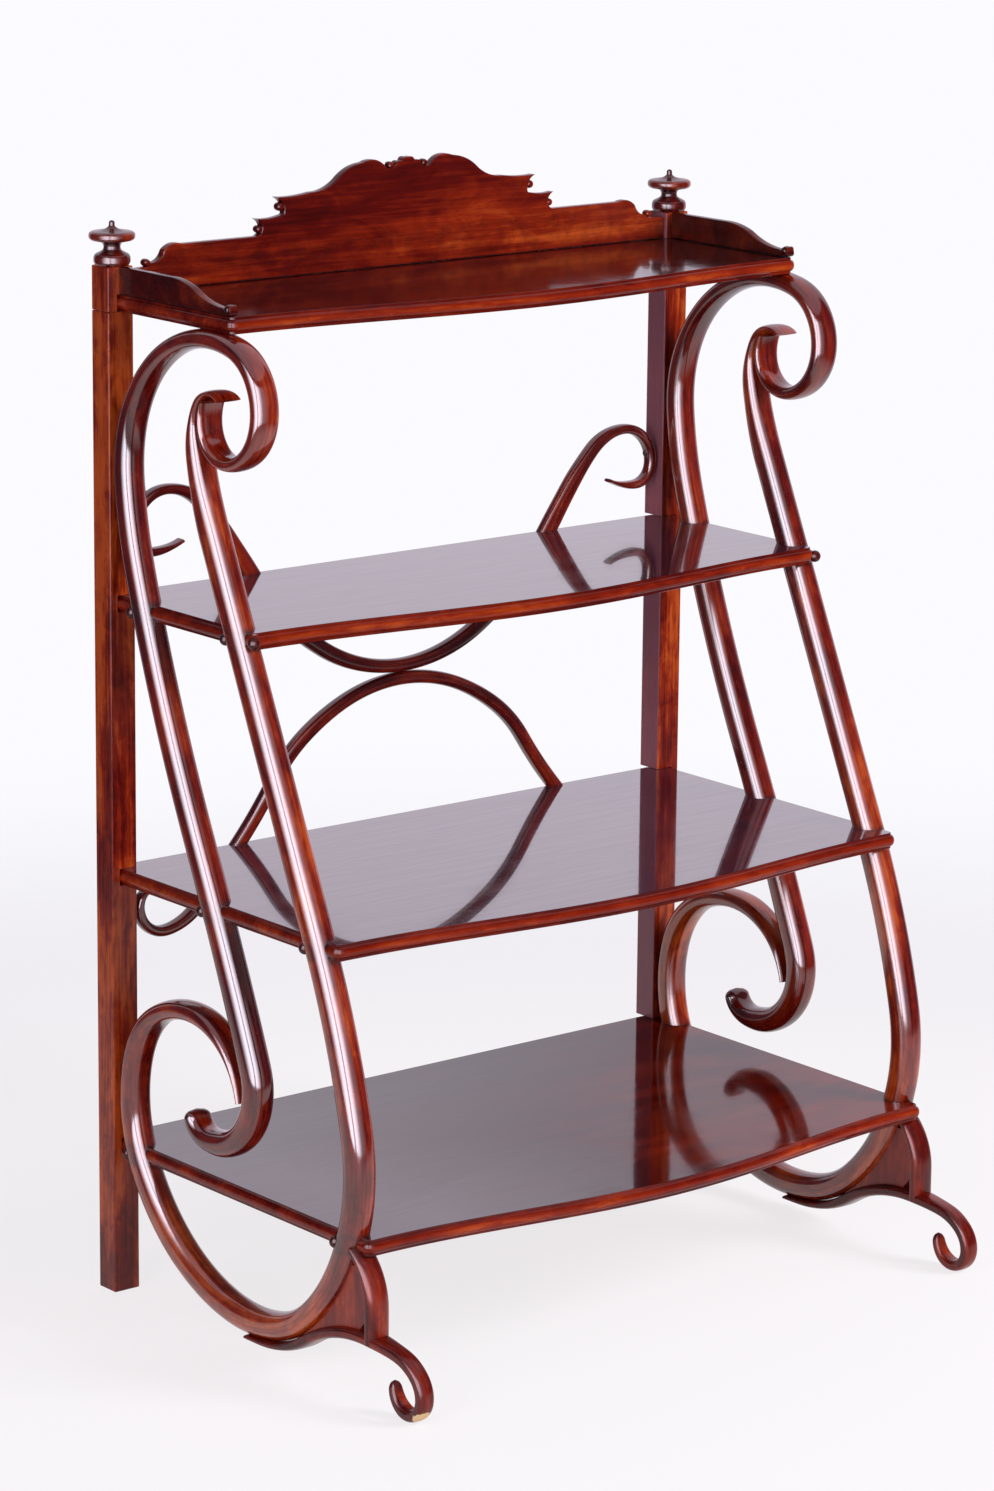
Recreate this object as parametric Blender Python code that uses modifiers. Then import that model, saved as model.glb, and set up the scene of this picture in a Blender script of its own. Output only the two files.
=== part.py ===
"""Scroll-framed mahogany etagere with four bow-fronted shelves.

Metres, +Z up, front toward -Y. The origin is the middle of the footprint on the floor.
Side-frame sizes are given as u, the distance forward of the back posts' front faces,
and z, the height above the floor, both in millimetres.
"""
import math

import bmesh
import bpy
from mathutils import Matrix

MM = 0.001
GAP = 0.3                     # clearance between neighbouring pieces
CUT = 6.0                     # how far a cutter runs past the face it opens

# Overall
OVERALL_WIDTH = 800.0
POST_WIDTH = 32.0
POST_DEPTH = 30.0
POST_FRONT_Y = 244.9          # the posts' front faces, measured from the footprint's middle
POST_X = (OVERALL_WIDTH - POST_WIDTH) / 2
POST_INNER_X = POST_X - POST_WIDTH / 2
SIDE_X = OVERALL_WIDTH / 2    # the posts' outer faces
POST_BEVEL = 1.2
CAP_TOP = 1124.0

# Shelves
SHELF_THICK = 18.0
SHELF_BACK_U = -16.0          # the shelves' back edges, inside the posts' depth
EDGE_FILLET = 3.0             # height of the flat fillets above and below the half round
EDGE_PROUD = 4.0              # how far the half round stands proud of the fillets
SHELF_CORNER = 6.0
CORNER_STEPS = 3
FRONT_STEPS = 22
ROUND_DEGREES = (-60, -22, 22, 60)   # where the half round has its edges
SHELF_INSET = 14.0            # the fillets' distance inside the posts' outer faces
TOP_SHELF_INSET = 16.0
# name: underside height, half width at the fillet, u of the front corner, extra bow in the middle
SHELVES = {
    "shelf_bottom": (156.4, SIDE_X - SHELF_INSET, 433.0, 38.0),
    "shelf_third": (457.6, SIDE_X - SHELF_INSET, 380.0, 31.0),
    "shelf_second": (756.4, SIDE_X - SHELF_INSET, 237.0, 34.0),
    "shelf_top": (1076.8, SIDE_X - TOP_SHELF_INSET, 196.0, 33.0),
}

# Side frames
ROD_X = SIDE_X - 17.0         # middle of the side frames
ROD_HALF = 16.0               # half their thickness across the frame
ROD_POWER = 2.3               # roundness of the oval section, 2 is an ellipse
ROD_SIDES = 12
BRACE_SIDES = 8
STEP = 24.0                   # longest step along a scroll
STEP_DEGREES = 19.0           # and the most that it turns in one step
TIP_DEGREES = (35, 60, 80)    # where a rounded end has its rings

# Each scroll: its start (u, z); the lengths of its arcs; its first heading, then the turn to
# the left along each arc; its half thickness at the start, then at each arc's end.
REAR_START = (161.0, 1004.0)
REAR_LENGTHS = (19, 72, 84, 80, 155, 140, 97, 299, 237, 129, 21, 20, 22)
REAR_DEGREES = (-116, 21, 106, 80, 74, 58, 52, 12, 8.5, -4, -103, -14, -35, -48)
REAR_HALVES = (3, 4.7, 7.8, 10.6, 10.2, 10.4, 14.6, 15, 15.3, 16.5, 14.4, 12.2, 10.1, 8)
REAR_SCROLL = (REAR_START, REAR_LENGTHS, REAR_DEGREES, REAR_HALVES)
FRONT_START = (188.7, 1008.2)
FRONT_LENGTHS = (47, 59, 82, 434, 198, 76, 162, 68, 79, 206, 129, 86, 58, 118)
FRONT_DEGREES = (142, 102, 37, 13.5, 0, -12, -21, -41, -28, -23, -51, -48, -50, -27, -72)
FRONT_HALVES = (1.5, 5.8, 11.9, 15.8, 16, 16.5, 16, 14, 15.3, 15.7, 16, 15, 11, 10, 3.6)
FRONT_SCROLL = (FRONT_START, FRONT_LENGTHS, FRONT_DEGREES, FRONT_HALVES)
FRONT_TOP_ROWS = 2            # the arcs that the rear scroll's upper end lies against
REAR_LOW_Z = 400.0            # below this the front scroll's end lies against the rear scroll
FOOT_START = (232.0, 15.1)
FOOT_LENGTHS = (32, 74, 110, 47.3, 34, 24.1, 35, 36, 8)
FOOT_DEGREES = (1, 2, 31, -36, -8, -34, -47, -92, -78, -6)
FOOT_HALVES = (2, 3.5, 6.5, 6.5, 6.5, 6.5, 6.3, 6, 5.4, 4.2)
FOOT_ACROSS = (15, 15, 15, 13.5, 10.5, 10, 10, 9.5, 7.5, 6)    # half widths at the same joints
FOOT_SCROLL = (FOOT_START, FOOT_LENGTHS, FOOT_DEGREES, FOOT_HALVES)
FOOT_SPREAD = (FOOT_START, FOOT_LENGTHS, FOOT_DEGREES, FOOT_ACROSS)
FOOT_POWER = 3.2
BRACKET_START = (413.0, 160.0)
BRACKET_LENGTHS = (67, 36)
BRACKET_DEGREES = (-35, -55, 0)
BRACKET_HALVES = (5, 8, 8)
BRACKET = (BRACKET_START, BRACKET_LENGTHS, BRACKET_DEGREES, BRACKET_HALVES)
BRACKET_HALF = 14.0
WEB_HALF = 5.0
WEB_REAR_U = 325.0            # the web runs forward from here along the foot strip
WEB_FRONT_U = 435.0
WEB_BRACKET_Z = 150.0         # and up to here along the bracket
WEB_ROD_Z = (52.0, 150.0)     # and between these heights along the front scroll

# Galleries
GALLERY_THICK = 10.0
BACK_GALLERY_U = -4.0         # the backboard's front face
SIDE_GALLERY_X = POST_X - 3.5
SIDE_GALLERY_LENGTH = 196.0
GALLERY_WING = 67.0           # length of the backboard's low ends, next to the cap blocks
# the backboard's outline from the middle: distance out, height above the shelf, and the rise
# of each curve over half its chord
BACK_OUT = (0, 9, 18, 29, 62, 98, 132, 178, 168, 205, 197, 204)
BACK_RISE = (116.9, 112.9, 108.9, 106.9, 114.9, 98.9, 87.9, 85.9, 66.9, 64.9, 54.9, 45.9)
BACK_BULGE = (-0.45, -0.5, 0.3, -0.35, -0.18, 0.18, 0.06, 0.35, 0.30, 0.45, 0.35, 0)
WING_OUT = (0, 24, 40, 46)    # the same for the low ends, from where they start
WING_RISE = (45.9, 40.9, 28.9, 24.9)
WING_BULGE = (-0.3, 0.35, 0.3, 0)
# a side panel's outline forward of the cap block
SIDE_OUT = (85, 128, 180, 187, SIDE_GALLERY_LENGTH)
SIDE_RISE = (28.9, 21.9, 7.9, 9.9, 4.9)
SIDE_BULGE = (-0.10, 0.12, 0.4, -0.8, -0.4)

# Back braces
BRACE_FRONT = 6.0             # how far the braces lie behind the posts' front faces
BRACE_DEPTH = 14.0
BRACE_POWER = 3.0
U_BOTTOM_Z = SHELVES["shelf_second"][0] - 109.4
BRACE_MID_HALF = 7.5
BRACE_BOW = POST_INNER_X - 250.0   # length of the upper brace's first arc
UPPER_BRACE_START = (0.0, U_BOTTOM_Z)
UPPER_BRACE_LENGTHS = (BRACE_BOW, 70, 70, 50, 53, 52, 66, 37, 40)
UPPER_BRACE_DEGREES = (0, 33, 12, 11, -1, -9, -46, -90, -90, -25)
UPPER_BRACE_HALVES = (BRACE_MID_HALF, 9, 10.5, 11, 10, 8, 5.5, 6.3, 5, 2)
UPPER_BRACE = (UPPER_BRACE_START, UPPER_BRACE_LENGTHS, UPPER_BRACE_DEGREES, UPPER_BRACE_HALVES)
LOWER_BRACE_START = (0.0, U_BOTTOM_Z - 2 * BRACE_MID_HALF - GAP)
LOWER_BRACE_LENGTHS = (BRACE_BOW - 32, 59, 60, 77, 84, 50, 54, 28)
LOWER_BRACE_DEGREES = (0, -24, -13, -20, 8, 2, 40, 97, 90)
LOWER_BRACE_HALVES = (BRACE_MID_HALF, 7.5, 8, 8, 8, 7, 6, 5.5, 2)
LOWER_BRACE = (LOWER_BRACE_START, LOWER_BRACE_LENGTHS, LOWER_BRACE_DEGREES, LOWER_BRACE_HALVES)
SCREW_INSET = 14.7            # where the heads sit in the scroll ends, inside the posts
SCREW_RISE = 10.2             # height of the screws above the scroll ends' widest point
SCREW_HEAD_RADIUS = 3.0
SCREW_HEAD_DEPTH = 1.6
SCREW_SHANK_RADIUS = 1.5
SCREW_LENGTH = 26.0

# Finials
TENON_RADIUS = 5.0
TENON_LENGTH = 18.0
# radius and height above the cap block, from the tip down the outside
FINIAL_PROFILE = (
    (0.0, 47.0), (2.4, 46.6), (3.4, 44.4), (2.8, 42.2), (3.4, 40.6), (7.0, 38.2), (13.0, 36.6),
    (22.0, 35.4), (24.5, 33.4), (24.5, 28.6), (22.0, 26.2), (13.5, 25.0), (9.6, 22.6),
    (8.7, 19.4), (9.6, 16.0), (13.0, 14.2), (18.0, 11.8), (19.5, 8.6), (19.5, 3.2), (17.5, GAP))
FINIAL_STEPS = 20

COLOURS = {
    "rod": (0.150, 0.030, 0.016, 1.0),
    "post": (0.190, 0.050, 0.022, 1.0),
    "shelf": (0.105, 0.024, 0.016, 1.0),
    "gallery": (0.115, 0.022, 0.012, 1.0),
    "steel": (0.060, 0.052, 0.048, 1.0),
}
ROUGHNESS = {"rod": 0.22, "post": 0.30, "shelf": 0.14, "gallery": 0.24, "steel": 0.35}


# Scene helpers
def clear_scene():
    """Empties the scene and makes the collections for pieces and cutters."""
    for obj in list(bpy.data.objects):
        bpy.data.objects.remove(obj, do_unlink=True)
    found = []
    for name in ("etagere", "cutters"):
        group = bpy.data.collections.new(name)
        bpy.context.scene.collection.children.link(group)
        found.append(group)
    return found


def material(kind):
    """A plain Principled BSDF material for one kind of piece."""
    mat = bpy.data.materials.get(kind)
    if mat is None:
        mat = bpy.data.materials.new(kind)
        mat.use_nodes = True
        shader = mat.node_tree.nodes["Principled BSDF"]
        shader.inputs["Base Color"].default_value = COLOURS[kind]
        shader.inputs["Roughness"].default_value = ROUGHNESS[kind]
        shader.inputs["Metallic"].default_value = 1.0 if kind == "steel" else 0.0
        mat.diffuse_color = COLOURS[kind]
    return mat


def add_mesh(name, bm, kind=None, smooth=False):
    """Turns a bmesh in millimetres into an object; without a kind it is a cutter."""
    bmesh.ops.remove_doubles(bm, verts=bm.verts, dist=0.01)
    bmesh.ops.recalc_face_normals(bm, faces=bm.faces)
    bmesh.ops.transform(bm, matrix=Matrix.Scale(MM, 4), verts=bm.verts)
    for face in bm.faces:
        face.smooth = smooth
    mesh = bpy.data.meshes.new(name)
    bm.to_mesh(mesh)
    bm.free()
    obj = bpy.data.objects.new(name, mesh)
    if kind is None:
        CUTTERS.objects.link(obj)
        obj.hide_render = True
        obj.display_type = "WIRE"
    else:
        PIECES.objects.link(obj)
        mesh.materials.append(material(kind))
    return obj


def loft(rings):
    """Joins rings of equal length into one closed body with flat ends."""
    bm = bmesh.new()
    rows = [[bm.verts.new(point) for point in ring] for ring in rings]
    count = len(rows[0])
    for low, high in zip(rows, rows[1:]):
        for i in range(count):
            j = (i + 1) % count
            bm.faces.new((low[i], low[j], high[j], high[i]))
    bm.faces.new(rows[0])
    bm.faces.new(rows[-1])
    return bm


def box(name, low, high, kind=None, bevel=0.0):
    """A box between two corners, with its edges rounded where a bevel is given."""
    bm = bmesh.new()
    bmesh.ops.create_cube(bm, size=1.0)
    for vert in bm.verts:
        vert.co = [a + (b - a) * (c + 0.5) for a, b, c in zip(low, high, vert.co)]
    obj = add_mesh(name, bm, kind)
    if bevel:
        mod = obj.modifiers.new("edges", "BEVEL")
        mod.width = bevel * MM
        mod.segments = 2
        mod.limit_method = "ANGLE"
    return obj


def cylinder(name, radius, low, high, kind=None, segments=16):
    """A cylinder between two points on a line along one axis."""
    bm = bmesh.new()
    length = (high[0] - low[0]) + (high[2] - low[2])
    bmesh.ops.create_cone(bm, cap_ends=True, segments=segments, radius1=radius, radius2=radius,
                          depth=abs(length))
    bmesh.ops.rotate(bm, matrix=Matrix.Rotation(math.pi / segments, 3, "Z"), verts=bm.verts)
    if high[0] != low[0]:
        bmesh.ops.rotate(bm, matrix=Matrix.Rotation(math.pi / 2, 3, "Y"), verts=bm.verts)
    middle = [(a + b) / 2 for a, b in zip(low, high)]
    bmesh.ops.translate(bm, vec=middle, verts=bm.verts)
    return add_mesh(name, bm, kind, smooth=True)


def cut(obj, *cutters):
    """Takes each cutter away from a piece."""
    for cutter in cutters:
        mod = obj.modifiers.new("cut_" + cutter.name, "BOOLEAN")
        mod.operation = "DIFFERENCE"
        mod.solver = "EXACT"
        mod.object = cutter


# Scroll geometry
def follow(scroll, rows=None):
    """Points along a scroll as (u, z, heading, half thickness).

    Each arc has a constant curvature k, so the heading h grows as k times the
    distance s, and the point is start + ((sin h - sin h0) / k, (cos h0 - cos h) / k).
    The half thickness eases from joint to joint.
    """
    (u, z), lengths, degrees, halves = scroll
    heading = math.radians(degrees[0])
    half = halves[0]
    points = [(u, z, heading, half)]
    for length, turn, half_end in list(zip(lengths, degrees[1:], halves[1:]))[:rows]:
        turn = math.radians(turn)
        steps = max(2, math.ceil(length / STEP), math.ceil(abs(turn) / math.radians(STEP_DEGREES)))
        if turn == 0:
            steps = 1
        for i in range(1, steps + 1):
            t = i / steps
            h = heading + turn * t
            if turn:
                k = turn / length
                pu = u + (math.sin(h) - math.sin(heading)) / k
                pz = z + (math.cos(heading) - math.cos(h)) / k
            else:
                pu = u + length * t * math.cos(h)
                pz = z + length * t * math.sin(h)
            ease = t * t * (3 - 2 * t)
            points.append((pu, pz, h, half + (half_end - half) * ease))
        u, z, heading, half = pu, pz, h, half_end
    return points


def round_tip(points):
    """Adds a rounded end to a scroll, half as long as the scroll is thick there."""
    u, z, heading, half = points[-1]
    tip = []
    for degrees in TIP_DEGREES:
        angle = math.radians(degrees)
        reach = half * math.sin(angle)
        tip.append((u + reach * math.cos(heading), z + reach * math.sin(heading), heading,
                    half * math.cos(angle)))
    return points + tip


def side_frame(side):
    """Places (u, z, w) of a side frame, w being the distance across it."""
    return lambda u, z, w: (side * (ROD_X + w), POST_FRONT_Y - u, z)


def back_plane(x, z, w):
    """Places (x, z, w) of a back brace, w being the distance across it."""
    return (x, POST_FRONT_Y + BRACE_FRONT + BRACE_DEPTH / 2 + w, z)


def sweep(name, points, place, half_width, power, kind=None, grow=0.0, sides=ROD_SIDES):
    """An oval section carried along a scroll; grow makes the cutter for a neighbour.

    half_width is one number, or a list with one for each point.
    """
    widths = half_width if isinstance(half_width, list) else [half_width] * len(points)
    rings = []
    for (u, z, heading, half), across in zip(points, widths):
        ring = []
        for i in range(sides):
            angle = 2 * math.pi * i / sides
            c = math.copysign(abs(math.cos(angle)) ** (2 / power), math.cos(angle))
            s = math.copysign(abs(math.sin(angle)) ** (2 / power), math.sin(angle))
            n = c * (half + grow)
            ring.append(place(u - n * math.sin(heading), z + n * math.cos(heading),
                              s * (across + grow)))
        rings.append(ring)
    return add_mesh(name, loft(rings), kind, smooth=True)


# Shelves
def shelf_outline(half_width, corner_u, bow, proud):
    """The outline of a shelf from above, moved outward by proud on the front and sides.

    The front is corner + bow times the raised cosine of x, so it leaves the corners flat
    and swells in the middle. The front corners are small quarter rounds.
    """
    x_round = half_width - SHELF_CORNER
    points = [(-half_width - proud, SHELF_BACK_U)]
    for i in range(CORNER_STEPS + 1):
        angle = math.pi / 2 * i / CORNER_STEPS
        points.append((-x_round - (SHELF_CORNER + proud) * math.cos(angle),
                       corner_u - SHELF_CORNER + (SHELF_CORNER + proud) * math.sin(angle)))
    for i in range(1, FRONT_STEPS):
        x = x_round * (2 * i / FRONT_STEPS - 1)
        front = corner_u + bow * 0.5 * (1 + math.cos(math.pi * x / x_round))
        points.append((x, front + proud))
    points += [(-x, u) for x, u in reversed(points[:CORNER_STEPS + 2])]
    return points


def make_shelf(name):
    """A shelf with a half round between two fillets along its front and sides."""
    low, half_width, corner_u, bow = SHELVES[name]
    round_half = SHELF_THICK / 2 - EDGE_FILLET
    middle = SHELF_THICK / 2
    profile = [(0.0, 0.0), (EDGE_FILLET, 0.0)]
    for degrees in ROUND_DEGREES:
        angle = math.radians(degrees)
        profile.append((middle + round_half * math.sin(angle), EDGE_PROUD * math.cos(angle)))
    profile += [(SHELF_THICK - EDGE_FILLET, 0.0), (SHELF_THICK, 0.0)]
    rings = [[(x, POST_FRONT_Y - u, low + z)
              for x, u in shelf_outline(half_width, corner_u, bow, proud)]
             for z, proud in profile]
    return add_mesh(name, loft(rings), "shelf")


def shelf_pocket(name, side):
    """The space that a shelf's rear corner takes in a back post or cap block."""
    low, half_width, _, _ = SHELVES[name]
    x_out = side * (half_width + EDGE_PROUD + GAP)
    x_in = side * (POST_INNER_X - CUT)
    return box("pocket_%s_%d" % (name, side),
               (min(x_in, x_out), POST_FRONT_Y - CUT, low - GAP),
               (max(x_in, x_out), POST_FRONT_Y + POST_DEPTH + CUT, low + SHELF_THICK + GAP))


# Flat outlines
def arcs(corners, steps=5):
    """Points through corners (a, b, bulge), the bulge being the arc's rise over half its chord."""
    points = []
    for (a0, b0, bulge), (a1, b1, _) in zip(corners, corners[1:]):
        points.append((a0, b0))
        if bulge:
            for i in range(1, steps):
                t = i / steps
                rise = bulge * 2 * t * (1 - t)
                points.append((a0 + (a1 - a0) * t + rise * (b1 - b0),
                               b0 + (b1 - b0) * t - rise * (a1 - a0)))
    points.append(corners[-1][:2])
    return points


def panel(name, outline, thick, matrix, kind):
    """A flat piece cut from a board: a filled curve given half its thickness each way."""
    curve = bpy.data.curves.new(name, "CURVE")
    curve.dimensions = "2D"
    curve.fill_mode = "BOTH"
    curve.extrude = thick / 2 * MM
    spline = curve.splines.new("POLY")
    spline.points.add(len(outline) - 1)
    for point, (a, b) in zip(spline.points, outline):
        point.co = (a * MM, b * MM, 0.0, 1.0)
    spline.use_cyclic_u = True
    draft = bpy.data.objects.new(name + "_draft", curve)
    PIECES.objects.link(draft)
    draft.matrix_world = matrix
    bpy.context.view_layer.update()
    graph = bpy.context.evaluated_depsgraph_get()
    mesh = bpy.data.meshes.new_from_object(draft.evaluated_get(graph))
    mesh.transform(draft.matrix_world)
    bpy.data.objects.remove(draft, do_unlink=True)
    bm = bmesh.new()
    bm.from_mesh(mesh)
    bpy.data.meshes.remove(mesh)
    bmesh.ops.transform(bm, matrix=Matrix.Scale(1 / MM, 4), verts=bm.verts)
    return add_mesh(name, bm, kind)


def upright(x, y, across):
    """Stands a flat outline up: across the front, or along a side with u running forward."""
    if across:
        axes = ((1, 0, 0), (0, 0, -1), (0, 1, 0))
    else:
        axes = ((0, 0, 1), (-1, 0, 0), (0, 1, 0))
    turn = Matrix([[row[i] for i in range(3)] for row in axes]).to_4x4()
    return Matrix.Translation((x * MM, y * MM, 0.0)) @ turn


# Pieces
def make_posts(side):
    """A back post with a notch for each shelf, and the cap block over its top."""
    tag = "right" if side > 0 else "left"
    x = side * POST_X
    low_top = SHELVES["shelf_top"][0]
    rear = POST_FRONT_Y + POST_DEPTH
    pockets = {name: shelf_pocket(name, side) for name in SHELVES}
    post = box("back_post_" + tag, (x - POST_WIDTH / 2, POST_FRONT_Y, 0.0),
               (x + POST_WIDTH / 2, rear, low_top - GAP), "post", POST_BEVEL)
    cut(post, *(pockets[name] for name in SHELVES if name != "shelf_top"))
    cap = box("cap_block_" + tag, (x - POST_WIDTH / 2, POST_FRONT_Y, low_top),
              (x + POST_WIDTH / 2, rear, CAP_TOP), "post", POST_BEVEL)
    mortise = cylinder("mortise_" + tag, TENON_RADIUS + GAP,
                       (x, POST_FRONT_Y + POST_DEPTH / 2, CAP_TOP - TENON_LENGTH - GAP),
                       (x, POST_FRONT_Y + POST_DEPTH / 2, CAP_TOP + CUT))
    cut(cap, pockets["shelf_top"], mortise)
    return post


def make_finial(side):
    """A turned finial: its profile and tenon carried round the post's axis."""
    tag = "right" if side > 0 else "left"
    profile = list(FINIAL_PROFILE)
    profile += [(TENON_RADIUS, GAP), (TENON_RADIUS, -TENON_LENGTH), (0.0, -TENON_LENGTH)]
    bm = bmesh.new()
    verts = [bm.verts.new((r * MM, 0.0, z * MM)) for r, z in profile]
    for low, high in zip(verts, verts[1:]):
        bm.edges.new((low, high))
    mesh = bpy.data.meshes.new("finial_" + tag)
    bm.to_mesh(mesh)
    bm.free()
    mesh.materials.append(material("rod"))
    obj = bpy.data.objects.new("finial_" + tag, mesh)
    obj.location = (side * POST_X * MM, (POST_FRONT_Y + POST_DEPTH / 2) * MM, CAP_TOP * MM)
    PIECES.objects.link(obj)
    screw = obj.modifiers.new("turn", "SCREW")
    screw.steps = FINIAL_STEPS
    screw.render_steps = FINIAL_STEPS
    screw.use_merge_vertices = True
    screw.merge_threshold = 0.00001
    screw.use_smooth_shade = True


def make_side(side, shelves):
    """The scrolls, foot, bracket and web of one side frame, each cut to its neighbours."""
    tag = "right" if side > 0 else "left"
    place = side_frame(side)
    rear_points = round_tip(follow(REAR_SCROLL))
    front_points = follow(FRONT_SCROLL)
    foot_points = round_tip(follow(FOOT_SCROLL))
    foot_widths = [point[3] for point in round_tip(follow(FOOT_SPREAD))]
    bracket_points = follow(BRACKET)

    rear = sweep("rear_scroll_" + tag, rear_points, place, ROD_HALF, ROD_POWER, "rod")
    front = sweep("front_scroll_" + tag, front_points, place, ROD_HALF, ROD_POWER, "rod")
    foot = sweep("foot_scroll_" + tag, foot_points, place, foot_widths, FOOT_POWER, "rod")
    bracket = sweep("foot_bracket_" + tag, bracket_points, place, BRACKET_HALF, FOOT_POWER, "rod")

    rear_room = sweep("rear_room_" + tag, rear_points, place, ROD_HALF, ROD_POWER, grow=GAP)
    front_room = sweep("front_room_" + tag, front_points, place, ROD_HALF, ROD_POWER, grow=GAP)
    front_top = sweep("front_top_" + tag, follow(FRONT_SCROLL, FRONT_TOP_ROWS), place,
                      ROD_HALF, ROD_POWER, grow=GAP)
    foot_room = sweep("foot_room_" + tag, foot_points, place, foot_widths, FOOT_POWER, grow=GAP)
    bracket_room = sweep("bracket_room_" + tag, bracket_points, place, BRACKET_HALF, FOOT_POWER,
                         grow=GAP)
    x_far = OVERALL_WIDTH
    post_room = box("post_room_" + tag, (min(0, side * x_far), POST_FRONT_Y - GAP, -CUT),
                    (max(0, side * x_far), POST_FRONT_Y + POST_DEPTH, CAP_TOP))
    top_room = box("top_room_" + tag, (min(0, side * x_far), -x_far, SHELVES["shelf_top"][0] - GAP),
                   (max(0, side * x_far), x_far, CAP_TOP + CUT))
    bottom = SHELVES["shelf_bottom"][0]
    bottom_room = box("bottom_room_" + tag, (min(0, side * x_far), -x_far, bottom - GAP),
                      (max(0, side * x_far), x_far, bottom + SHELF_THICK))

    rear_low = sweep("rear_low_" + tag, [p for p in rear_points if p[1] < REAR_LOW_Z], place,
                     ROD_HALF, ROD_POWER, grow=GAP)

    cut(rear, post_room, top_room, front_top)
    cut(front, post_room, rear_low)
    cut(foot, front_room)
    cut(bracket, front_room, foot_room, bottom_room)
    for name, shelf in shelves.items():
        if name in ("shelf_third", "shelf_second"):
            cut(shelf, rear_room)
        if name != "shelf_top":
            cut(shelf, front_room)

    first = next(i for i, p in enumerate(foot_points) if p[0] > WEB_REAR_U)
    under = [(u, z) for u, z, _, _ in foot_points[first:] if u < WEB_FRONT_U]
    up = [(u, z) for u, z, _, _ in reversed(bracket_points[:-1]) if z < WEB_BRACKET_Z]
    back = [(u, z) for u, z, _, _ in front_points
            if WEB_ROD_Z[0] < z < WEB_ROD_Z[1] and u > WEB_REAR_U / 2]
    web = panel("foot_web_" + tag, under + up + back, 2 * WEB_HALF,
                upright(side * ROD_X, POST_FRONT_Y, False), "rod")
    cut(web, front_room, foot_room, bracket_room)


def make_braces(posts, shelves):
    """The two curved back braces and the screws that hold the upper one to the posts.

    Each brace is let into the back edge of the shelf that its legs pass.
    """
    for name, scroll, shelf in (("upper_brace", UPPER_BRACE, "shelf_second"),
                                ("lower_brace", LOWER_BRACE, "shelf_third")):
        right = follow(scroll)
        left = [(-u, z, -heading, half) for u, z, heading, half in reversed(right[1:])]
        brace = sweep(name, left + right, back_plane, BRACE_DEPTH / 2, BRACE_POWER, "rod",
                      sides=BRACE_SIDES)
        room = sweep(name + "_room", left + right, back_plane, BRACE_DEPTH / 2, BRACE_POWER,
                     grow=GAP, sides=BRACE_SIDES)
        cut(shelves[shelf], room)
        if name == "upper_brace":
            upper = brace
    y = back_plane(0, 0, 0)[1]
    screw_z = max(follow(UPPER_BRACE))[1] + SCREW_RISE
    for side, post in posts.items():
        tag = "right" if side > 0 else "left"
        seat = side * (POST_INNER_X - SCREW_INSET)
        head = cylinder("brace_screw_" + tag, SCREW_HEAD_RADIUS,
                        (min(seat, seat - side * SCREW_HEAD_DEPTH), y, screw_z),
                        (max(seat, seat - side * SCREW_HEAD_DEPTH), y, screw_z), "steel")
        tip = seat + side * SCREW_LENGTH
        shank = cylinder("shank_" + tag, SCREW_SHANK_RADIUS,
                         (min(seat - side * SCREW_HEAD_DEPTH / 2, tip), y, screw_z),
                         (max(seat - side * SCREW_HEAD_DEPTH / 2, tip), y, screw_z))
        join = head.modifiers.new("shank", "BOOLEAN")
        join.operation = "UNION"
        join.solver = "EXACT"
        join.object = shank
        bore = cylinder("bore_" + tag, SCREW_SHANK_RADIUS + GAP,
                        (min(seat - side * CUT, tip + side * GAP), y, screw_z),
                        (max(seat - side * CUT, tip + side * GAP), y, screw_z))
        rest = cylinder("rest_" + tag, SCREW_HEAD_RADIUS + GAP,
                        (min(seat + side * GAP, seat - side * 2 * CUT), y, screw_z),
                        (max(seat + side * GAP, seat - side * 2 * CUT), y, screw_z))
        cut(upper, bore, rest)
        cut(post, bore)


def make_galleries():
    """The shaped backboard and the two low side panels on the top shelf."""
    low = SHELVES["shelf_top"][0] + SHELF_THICK + GAP
    end = POST_INNER_X - GAP
    wing = end - GALLERY_WING
    half = [(x, low + rise, bulge) for x, rise, bulge in zip(BACK_OUT, BACK_RISE, BACK_BULGE)]
    half += [(wing + x, low + rise, bulge)
             for x, rise, bulge in zip(WING_OUT, WING_RISE, WING_BULGE)]
    half += [(end, low + WING_RISE[-1] - 1, 0), (end, low, 0)]
    right = arcs(half)
    outline = right + [(-x, z) for x, z in reversed(right[1:])]
    panel("back_gallery", outline, GALLERY_THICK,
          upright(0, POST_FRONT_Y - BACK_GALLERY_U + GALLERY_THICK / 2, True), "gallery")
    side = [(GAP, low, 0), (GAP, CAP_TOP - GAP, 0)]
    side += [(u, low + rise, bulge) for u, rise, bulge in zip(SIDE_OUT, SIDE_RISE, SIDE_BULGE)]
    side += [(SIDE_GALLERY_LENGTH - 4, low, 0)]
    for sign, tag in ((1, "right"), (-1, "left")):
        panel("side_gallery_" + tag, arcs(side), GALLERY_THICK,
              upright(sign * SIDE_GALLERY_X, POST_FRONT_Y, False), "gallery")


PIECES, CUTTERS = clear_scene()
POSTS = {side: make_posts(side) for side in (-1, 1)}
SHELF_OBJECTS = {name: make_shelf(name) for name in SHELVES}
for SIDE in (-1, 1):
    make_side(SIDE, SHELF_OBJECTS)
    make_finial(SIDE)
make_braces(POSTS, SHELF_OBJECTS)
make_galleries()
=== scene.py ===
"""Polished look of a scroll-framed mahogany etagere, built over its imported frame.

Metres, +Z up, front toward -Y. Shapes are worked out in millimetres: u is the distance
forward of the back posts' front faces, z the height above the floor, x the distance to the
right of the middle.
"""

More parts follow.
